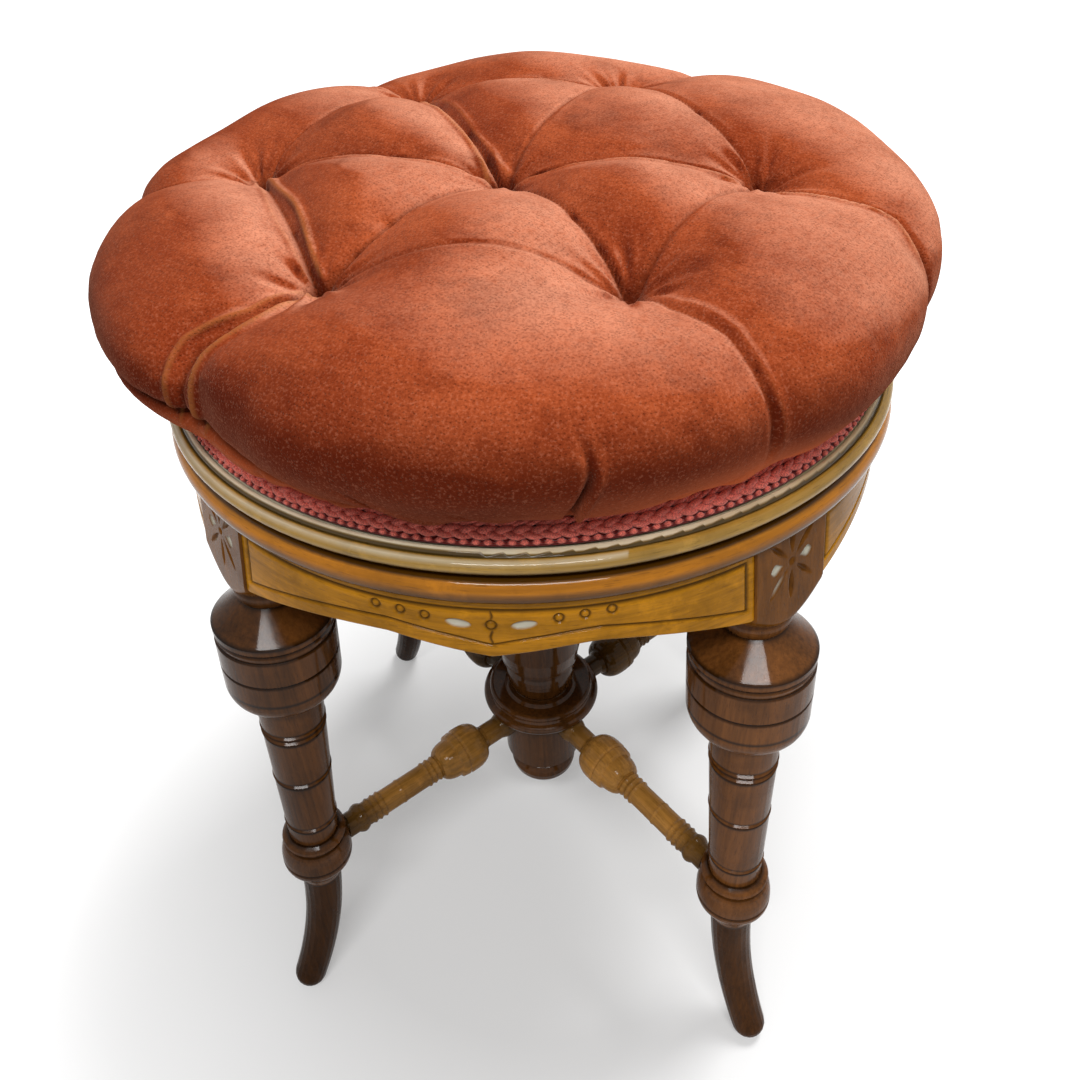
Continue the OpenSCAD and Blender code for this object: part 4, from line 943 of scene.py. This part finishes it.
def panel_surface(cut):
    """Closed shell of one panel that faces +X, and its marks.

    Columns run round the stool, and rows run down the face, in under the lower edge, up the back and out
    over the top. drops holds the share of the panel's height at each row, depths the distance in from the
    face and rounding how far the row has come round the lower edge.
    """
    down = np.linspace(0.0, 1.0, FACE_ROWS)
    corner = np.linspace(0.0, math.pi / 2, 5)[1:]
    inward = np.linspace(0.12, 1.0, UNDER_ROWS)
    back = np.linspace(1.0, 0.0, BACK_ROWS + 1)[1:]
    drops = np.concatenate([down, np.ones(len(corner) + len(inward)), back, [0.0, 0.0]])
    depths = np.concatenate([np.zeros(len(down)), PANEL_ROUNDING * (1.0 - np.cos(corner)),
                             inward * APRON_T, np.full(len(back), APRON_T), [APRON_T * 0.5, 0.0]])
    rounding = np.concatenate([np.zeros(len(down)), np.sin(corner), np.ones(len(inward)),
                               np.zeros(len(back) + 2)])
    columns = np.linspace(-1.0, 1.0, PANEL_COLUMNS)
    middle_r = APRON_R + APRON_MIDDLE * APRON_LEAN
    end_angle = math.acos(BLOCK_HALF / middle_r) - math.pi / 4
    angle = columns[None, :] * end_angle
    across = middle_r * np.sin(angle)
    height = panel_height(across)
    drop = drops[:, None] * (height - PANEL_ROUNDING) + rounding[:, None] * PANEL_ROUNDING
    face = np.zeros(len(drops))
    face[:len(down)] = 1.0
    arc = middle_r * angle
    end_gap = middle_r * end_angle - np.abs(arc)
    cuts, bright = panel_cuts(arc, drop, height, end_gap, cut)
    cuts = cuts * face[:, None]
    bright = bright * face[:, None]
    r = APRON_R + drop * APRON_LEAN - depths[:, None] - cuts
    limit = np.arccos(np.clip((BLOCK_HALF + BLOCK_GAP) / r, 0.0, 1.0)) - math.pi / 4
    turned = columns[None, :] * limit
    points = np.stack([r * np.cos(turned), r * np.sin(turned), APRON_TOP - drop], axis=2)
    # painted shade in the cuts, except where a lens's lower part carries the painted highlight
    dark = np.clip(cuts / cut.line_depth, 0.0, 1.0) * (1.0 - bright)
    ends = face[:, None] * bell(end_gap, 0.010) * 0.16
    return points, {"mark": np.maximum(dark, ends), "bright": bright}


class STOOL_OT_panels(bpy.types.Operator):
    """Four curved apron panels with incised lines, lenses and punched rings"""
    bl_idname = "stool.panels"
    bl_label = "Apron panels"

    def execute(self, context):
        colours = context.scene.stool_colours
        points, marks = panel_surface(context.scene.stool_carving)
        amber = wood("amber_panel", tuple(colours.amber), "ring", light=1.35, dark=0.4, polish=0.25,
                     grime=0.9, carved=True)
        marks = {key: np.swapaxes(values, 0, 1) for key, values in marks.items()}
        for side, angle in PANEL_ANGLES.items():
            piece = grid_piece(f"panel_{side}", turn(np.swapaxes(points, 0, 1), angle), around=True,
                               ends=(0, -1), flip=True, marks=marks)
            give(piece, amber)
            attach(piece, "base")
            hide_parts(f"apron_{side}")
        return {"FINISHED"}


# Corner blocks

BLOCK_D = 0.040
BLOCK_H = 0.0505
POMMEL_H = 0.0145
STAR_DROP = 0.33 * BLOCK_H
LEG_TOP_R = 0.16815
LEG_LEAN = math.radians(4.5)
POMMEL_R = 0.0186
CORNER_R = 2.0 * BLOCK_HALF / math.sqrt(2.0)
EDGE_SHARPNESS = 24.0     # power of the mean that rounds a block's edge, where higher is sharper
FACE_COLUMNS, SIDE_COLUMNS, BLOCK_ROWS = 96, 26, 112
DIMPLE_R, DIMPLE_DEPTH = 0.0021, 0.0012
# A level drop and a thin petal of the star: start, end and half width, in metres, and the power that
# moves its widest place outwards
DROP_CUT = (0.0040, 0.0134, 0.0030, 1.9)
PETAL_START, PETAL_HALF_W, PETAL_POWER, PETAL_DEPTH_SHARE = 0.0034, 0.0016, 1.1, 0.75
LIP_W = 0.00045


def star_cut(across, up, cut):
    """Depth of the eight-petalled star: drop-shaped gouges on the level, thin ones between, a dimple.

    Each is w sin(pi s^p) wide, with s the share of its length; a level drop is short and widest towards
    its outer end. The second value is a painted highlight: 1 where the bottom of a level drop catches the
    light, and weaker along one lip of two thin petals.
    """
    gap = np.hypot(across, up)
    angle = np.arctan2(up, across)
    depth = DIMPLE_DEPTH * np.clip(1.0 - np.square(gap / DIMPLE_R), 0.0, None)
    bright = np.zeros_like(depth)
    for i in range(8):
        level = i % 4 == 0
        along = gap * np.cos(angle - i * math.pi / 4)
        aside = gap * np.sin(angle - i * math.pi / 4)
        start, end, width, power = (DROP_CUT if level
                                    else (PETAL_START, cut.star_reach, PETAL_HALF_W, PETAL_POWER))
        share = np.clip((along - start) / (end - start), 0.0, 1.0)
        leaf = np.sin(math.pi * share ** power)
        body = np.clip(1.0 - np.square(aside / (width * np.maximum(leaf, 0.04))), 0.0, None) * leaf
        depth = np.maximum(depth, cut.star_depth * (1.0 if level else PETAL_DEPTH_SHARE) * body)
        if level:
            bright = np.maximum(bright, body)
        elif i in (1, 5):
            lip = bell(aside - 0.55 * width * leaf, LIP_W) * np.square(leaf)
            bright = np.maximum(bright, 0.30 * lip)
    return depth, bright


def block_surface(cut):
    """Closed shell of a block that faces +X, its rows from the ring down to the leg's bead.

    Across each level the outline is the nearer of the square block and a circle about the leg's axis
    whose radius grows evenly from the pommel's foot to the block's corner.
    """
    face = np.linspace(-1.0, 1.0, FACE_COLUMNS)
    back = np.linspace(1.0, -1.0, SIDE_COLUMNS)
    side = np.linspace(-1.0, 1.0, SIDE_COLUMNS)[1:-1]
    ring = np.concatenate([
        np.stack([np.ones(len(face)), face], axis=1),
        np.stack([-side, np.ones(len(side))], axis=1),
        np.stack([-np.ones(len(back)), back], axis=1),
        np.stack([side, -np.ones(len(side))], axis=1)])
    drop = np.linspace(0.0, BLOCK_H, BLOCK_ROWS)[:, None]
    face_x = APRON_R + drop * APRON_LEAN
    axis_x = LEG_TOP_R - (BLOCK_H - drop) * math.tan(LEG_LEAN)
    half = BLOCK_D / 2
    middle = face_x - half
    px = middle + ring[None, :, 0] * half
    py = BLOCK_HALF * ring[None, :, 1] + 0.0 * px
    dx, dy = px - axis_x, py
    far = np.hypot(dx, dy)
    up = (BLOCK_H - drop) / math.cos(LEG_LEAN)
    limit = np.where(up >= POMMEL_H, 1.0, POMMEL_R + (CORNER_R - POMMEL_R) * up / POMMEL_H)
    keep = (far ** -EDGE_SHARPNESS + limit ** -EDGE_SHARPNESS) ** (-1.0 / EDGE_SHARPNESS)
    keep = np.minimum(keep, far)
    px, py = axis_x + dx / far * keep, dy / far * keep
    cuts, bright = star_cut(py, STAR_DROP - drop + 0.0 * py, cut)
    outer = ring[None, :, 0] > 0.999
    cuts, bright = cuts * outer, smooth_step(bright * outer * 2.2)
    px = px - cuts
    points = np.stack([px, py, APRON_TOP - drop + 0.0 * px], axis=2)
    # painted shade in the star's cuts, except where the painted highlight lies
    return points, {"mark": np.clip(cuts / cut.star_depth, 0.0, 1.0) * (1.0 - bright), "bright": bright}


class STOOL_OT_blocks(bpy.types.Operator):
    """Four corner blocks with a carved star"""
    bl_idname = "stool.blocks"
    bl_label = "Corner blocks"

    def execute(self, context):
        colours = context.scene.stool_colours
        points, marks = block_surface(context.scene.stool_carving)
        dark = wood("carved_walnut", tuple(colours.block), "up", light=1.6, dark=0.5, carved=True, coat=0.03)
        for corner, angle in LEG_ANGLES.items():
            piece = grid_piece(f"carved_block_{corner}", turn(points, angle), around=True, ends=(0, -1),
                               flip=True, marks=marks)
            give(piece, dark)
            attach(piece, "base")
            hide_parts(f"block_{corner}")
        return {"FINISHED"}


# Screw

SCREW_PITCH, THREAD_DEPTH, THREAD_TOP = 0.008, 0.0018, 0.4335
SPIGOT_R, SPIGOT_L, SPIGOT_CHAMFER, SHOULDER_CHAMFER = 0.006, 0.01030, 0.0008, 0.0006
THREAD_ROWS, THREAD_COLUMNS = 620, 72


class STOOL_OT_screw(bpy.types.Operator):
    """Iron seat screw with a right-hand helical thread"""
    bl_idname = "stool.screw"
    bl_label = "Seat screw"

    def execute(self, context):
        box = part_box("seat_screw")
        radius = (box[1][0] - box[0][0]) / 2
        bottom, top = box[0][2], box[1][2]
        shoulder = bottom + SPIGOT_L
        a = np.linspace(0.0, FULL_TURN, THREAD_COLUMNS, endpoint=False)
        z = np.linspace(shoulder, top, THREAD_ROWS)
        phase = np.mod(z[:, None] / SCREW_PITCH - a[None, :] / FULL_TURN, 1.0)
        tooth = smooth_step((np.abs(phase - 0.5) - 0.17) / 0.12)
        fade = smooth_step((THREAD_TOP - 0.002 - z) / 0.004) * smooth_step((z - shoulder) / 0.002)
        r = radius - THREAD_DEPTH * (1.0 - tooth) * fade[:, None]
        thread = np.stack([r * np.cos(a), r * np.sin(a), z[:, None] + 0.0 * r], axis=2)
        end_r = np.array([SPIGOT_R - SPIGOT_CHAMFER, SPIGOT_R, SPIGOT_R, radius - SHOULDER_CHAMFER])
        end_z = np.array([bottom, bottom + SPIGOT_CHAMFER, shoulder, shoulder])
        spigot_rows = np.stack([end_r[:, None] * np.cos(a), end_r[:, None] * np.sin(a),
                                end_z[:, None] + 0.0 * a], axis=2)
        piece = grid_piece("helical_screw", np.concatenate([spigot_rows, thread]), around=True, ends=(0, -1))
        give(piece, metal("screw_steel", (0.33, 0.31, 0.29), 0.34, 1.0))
        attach(piece, "seat")
        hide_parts("seat_screw")
        return {"FINISHED"}


# Finishes of the turned pieces

# Painted light and shade: how light each leg and each stretcher is, beside their common colour,
# lightest at the front right where the light falls and darkest at the back, in the shade of the seat
LEG_LIGHT_AND_SHADE = {"front_left": 0.74, "front_right": 1.25, "back_right": 0.6, "back_left": 0.5}
STRETCHER_LIGHT_AND_SHADE = {"front_left": 0.66, "front_right": 0.88, "back_right": 0.24, "back_left": 0.24}
# Grooves of a leg: distances down its own axis from the block, in metres
LEG_GROOVES = (0.0005, 0.0126, 0.0262, 0.0309, 0.0354, 0.0527, 0.0664, 0.0796, 0.0845, 0.1049, 0.1089, 0.1131,
            0.1487, 0.1526, 0.1929, 0.1969, 0.2098, 0.2183, 0.2335, 0.2449, 0.2504, 0.2565)
GROOVE_W = 0.0016
# Painted shade along a stretcher by distance from the stool's axis, and on the ring and rim by height
STRETCHER_END_SHADE = ((0.030, 1.0), (0.058, 0.25), (0.075, 0.0), (0.135, 0.0), (0.150, 0.6), (0.175, 1.0))
RING_SHADE = ((0.4215, 1.0), (0.4260, 0.88), (0.4285, 0.62), (0.4306, 0.0), (0.4332, 0.0), (0.4340, 0.95),
             (0.4350, 1.0))
RIM_SHADE = ((0.4357, 1.0), (0.4390, 1.0), (0.4404, 0.0), (0.4460, 0.0))
RIM_JOINT_X, RIM_BEAD_R, RIM_GROOVE_R, UPPER_BEAD_R = 0.0600, 0.1836, 0.1809, 0.1803


def leg_groove_shade_and_dirt(angle):
    """Painted shade and dirt in the grooves of the leg at a compass angle, by the distance down the leg's own
    axis.
    """
    a = math.radians(angle)
    start = (LEG_TOP_R * math.cos(a), LEG_TOP_R * math.sin(a), APRON_TOP - BLOCK_H)
    ahead = (math.sin(LEG_LEAN) * math.cos(a), math.sin(LEG_LEAN) * math.sin(a), -math.cos(LEG_LEAN))
    return lambda w: grooves(w, along_line(w, start, ahead), LEG_GROOVES, GROOVE_W)


def stretcher_end_shade(w):
    """Painted shade at a stretcher's two ends, where it meets the hub and a leg."""
    return ramp(w, cylinder_place(w)[0], 0.0, 0.2, STRETCHER_END_SHADE)


def ring_painted_shade(w):
    """Painted shade under the half-round ring and on its top, in the gap under the rim."""
    return ramp(w, cylinder_place(w)[1], 0.420, 0.436, RING_SHADE)


def rim_shine_and_bloom(w):
    """Painted reflection on the rim's upper bead, fading to the right, and, left of the joint in its front,
    pale dusty wear with painted reflection on the lower bead.
    """
    x, radius = axes_of(w)[0], cylinder_place(w)[0]
    worn = fit(w, noise(w, place_of(w), 30.0, 5.0, 0.65), 0.34, 0.62)
    upper = fit(w, radius, UPPER_BEAD_R, UPPER_BEAD_R - 0.0005) * 0.95
    left = fit(w, x, RIM_JOINT_X, RIM_JOINT_X - 0.0008)
    lower = left * grooves(w, radius, (RIM_BEAD_R,), GROOVE_W) * 0.62
    return w.math("MAXIMUM", upper * fit(w, x, 0.16, 0.05, 0.45, 1.0), lower) * (0.68 + worn * 0.32)


def rim_shade_and_dirt(w):
    """Painted shade under the rim's bead, over the ring, and painted shade and dirt in the groove behind it.
    """
    radius, height = cylinder_place(w)
    under = ramp(w, height, 0.435, 0.447, RIM_SHADE)
    behind = fit(w, grooves(w, radius, (RIM_GROOVE_R,), 0.0014), 0.1, 0.7)
    return w.math("MAXIMUM", under, behind * 0.92)


class STOOL_OT_finishes(bpy.types.Operator):
    """Polish, stain, iron and steel on the pieces whose shape the CAD holds"""
    bl_idname = "stool.finishes"
    bl_label = "Finishes"

    def execute(self, context):
        c = context.scene.stool_colours
        for corner, angle in LEG_ANGLES.items():
            shade = scaled(tuple(c.walnut), LEG_LIGHT_AND_SHADE[corner])
            give(f"leg_{corner}", wood(f"turned_{corner}", shade, "up", light=2.1, dark=0.4, grime=0.8,
                                       coat=0.20, darkening=leg_groove_shade_and_dirt(angle)))
            give(f"foot_{corner}", wood(f"foot_{corner}", scaled(shade, 0.42), "up", light=2.4, dark=0.4,
                                        coat=0.05))
            honey = scaled(tuple(c.honey), STRETCHER_LIGHT_AND_SHADE[corner])
            give(f"stretcher_{corner}", wood(f"honey_{corner}", honey, angle, light=1.6, dark=0.4, coat=0.14,
                                             darkening=stretcher_end_shade))
        dark = wood("centre_walnut", scaled(tuple(c.walnut), 0.75), "up", light=1.8, coat=0.26, polish=0.18)
        for node in ("column", "hub", "finial"):
            give(node, dark)
        give("base_ring", wood("amber_ring", tuple(c.torus), "ring", light=1.4, dark=0.5, polish=0.16,
                               coat=0.30, darkening=ring_painted_shade))
        give("seat_rim", wood("rim_polish", tuple(c.rim), "ring", light=1.3, dark=0.5, polish=0.17,
                              coat=0.45, darkening=rim_shade_and_dirt, pale=rim_shine_and_bloom))
        plain = wood("plain_board", (0.40, 0.25, 0.12), 0, light=1.2, dark=0.7, polish=0.6, coat=0.0)
        give("seat_board", plain)
        give("base_board", plain)
        iron = metal("black_iron", (0.045, 0.043, 0.042), 0.55, 0.7)
        steel = metal("old_steel", (0.30, 0.28, 0.26), 0.40, 1.0)
        for node in ("spider_plate", "nut_plate"):
            give(node, iron)
        for node in ("spider_screws", "screw_pin", "stop_washer", "stop_nut", "nut_plate_screws"):
            give(node, steel)
        give("tuft_twines", yarn("twine", (0.55, 0.45, 0.28), (0.30, 0.23, 0.13)))
        return {"FINISHED"}


# Stage

LENS, SENSOR, SHIFT = 29.807, 36.0, (0.018433, -0.038829)
CAMERA_AT, CAMERA_TURN = (0.059966, -0.426454, 0.668188), (51.86899, 2.37627, 7.19307)
LOOK_AT = (0.0, 0.0, 0.4)
# Lamps: name, place, width, depth and power in watts
LAMPS = (("key", (0.75, 0.75, 3.1), 0.9, 0.9, 62.0), ("window", (0.15, -1.5, 2.45), 1.5, 0.26, 38.0))
ROOM_LIGHT = 0.28
FLOOR_HALF = 6.0
PAPER = (0.62, 0.62, 0.62, 1.0)
WHITE = (1.0, 1.0, 1.0, 1.0)
# The floor's glow: distance from the axis where it starts to grow and where it is white, and its least,
# which leaves a soft painted shadow round the stool
GLOW_FROM, GLOW_TO, GLOW_LEAST = 0.18, 0.72, 0.22


def seen_ray(w):
    """1 for a ray from the camera or by way of a mirror or glass, 0 for one that only lights."""
    outs = w.make("ShaderNodeLightPath").socket.node.outputs
    camera, mirror, glass = (Wire(w.tree, outs[f"Is {kind} Ray"])
                             for kind in ("Camera", "Glossy", "Transmission"))
    return w.math("MAXIMUM", camera, w.math("MAXIMUM", mirror, glass))


def stage_material(name):
    """Pale paper that keeps shadows.

    The camera and mirrors see a glow added to it, which grows away from the stool until it is white; the
    glow lights nothing. Its weaker level near the stool paints a soft shadow round it.
    """
    material, w = start_material(name)
    paper = w.make("ShaderNodeBsdfDiffuse", None, {"Color": PAPER})
    grow = fit(w, cylinder_place(w)[0], GLOW_FROM, GLOW_TO, GLOW_LEAST, 1.0)
    glow = w.make("ShaderNodeEmission", None, {"Color": grow, "Strength": 1.0})
    lit = w.make("ShaderNodeAddShader", None, {0: paper, 1: glow})
    output(w, w.make("ShaderNodeMixShader", None, {0: seen_ray(w), 1: paper, 2: lit}))
    return material


def area_lamp(name, place, width, depth, power):
    """A soft light that looks at the stool, its width level with the floor."""
    lamp = bpy.data.lights.new(name, "AREA")
    lamp.shape = "RECTANGLE"
    lamp.size = width
    lamp.size_y = depth
    lamp.energy = power
    holder = bpy.data.objects.new(name, lamp)
    bpy.context.scene.collection.objects.link(holder)
    holder.location = place
    ahead = np.array(LOOK_AT) - np.array(place)
    flat = math.hypot(ahead[0], ahead[1])
    holder.rotation_euler = (math.atan2(flat, -ahead[2]), 0.0, math.atan2(ahead[1], ahead[0]) - math.pi / 2)


class STOOL_OT_stage(bpy.types.Operator):
    """Camera at the photograph's place, soft lights, pale floor"""
    bl_idname = "stool.stage"
    bl_label = "Stage"

    def execute(self, context):
        scene = context.scene
        scene.view_settings.view_transform = "Standard"
        lens = bpy.data.cameras.new("camera")
        lens.lens = LENS
        lens.sensor_width = SENSOR
        lens.shift_x, lens.shift_y = SHIFT
        lens.clip_start = 0.01
        camera = bpy.data.objects.new("camera", lens)
        scene.collection.objects.link(camera)
        camera.location = CAMERA_AT
        camera.rotation_euler = tuple(math.radians(v) for v in CAMERA_TURN)
        scene.camera = camera
        across = np.linspace(-FLOOR_HALF, FLOOR_HALF, 3)
        floor = grid_piece("floor", np.dstack([*np.meshgrid(across, across), np.zeros((3, 3))]))
        give(floor, stage_material("paper"))
        for lamp in LAMPS:
            area_lamp(*lamp)
        world = bpy.data.worlds.new("room")
        scene.world = world
        world.use_nodes = True
        world.node_tree.nodes.clear()
        w = Wire(world.node_tree)
        dim = w.make("ShaderNodeBackground", None, {"Color": WHITE, "Strength": ROOM_LIGHT})
        white = w.make("ShaderNodeBackground", None, {"Color": WHITE, "Strength": 1.0})
        output(w, w.make("ShaderNodeMixShader", None, {0: seen_ray(w), 1: dim, 2: white}),
               "ShaderNodeOutputWorld")
        return {"FINISHED"}


class STOOL_PT_panel(bpy.types.Panel):
    """Lists the steps that build the stool"""
    bl_idname = "STOOL_PT_panel"
    bl_label = "Piano stool"
    bl_space_type = "VIEW_3D"
    bl_region_type = "UI"
    bl_category = "Stool"

    def draw(self, context):
        for step in STEPS:
            self.layout.operator(step.bl_idname)
        for group in ("stool_cushion", "stool_carving", "stool_colours"):
            settings = getattr(context.scene, group)
            for key in settings.bl_rna.properties.keys():
                if key not in ("rna_type", "name"):
                    self.layout.prop(settings, key)


STEPS = (STOOL_OT_stage, STOOL_OT_finishes, STOOL_OT_cushion, STOOL_OT_gimp, STOOL_OT_panels, STOOL_OT_blocks,
         STOOL_OT_screw)
GROUPS = {"stool_cushion": CushionSizes, "stool_carving": CarvingSizes, "stool_colours": StoolColours}


def register():
    for group in GROUPS.values():
        bpy.utils.register_class(group)
    for key, group in GROUPS.items():
        setattr(bpy.types.Scene, key, bpy.props.PointerProperty(type=group))
    for step in STEPS:
        bpy.utils.register_class(step)
    bpy.utils.register_class(STOOL_PT_panel)


def unregister():
    bpy.utils.unregister_class(STOOL_PT_panel)
    for step in reversed(STEPS):
        bpy.utils.unregister_class(step)
    for key in GROUPS:
        delattr(bpy.types.Scene, key)
    for group in GROUPS.values():
        bpy.utils.unregister_class(group)


def main():
    register()
    for step in STEPS:
        area, name = step.bl_idname.split(".")
        getattr(getattr(bpy.ops, area), name)()


if __name__ == "__main__":
    main()
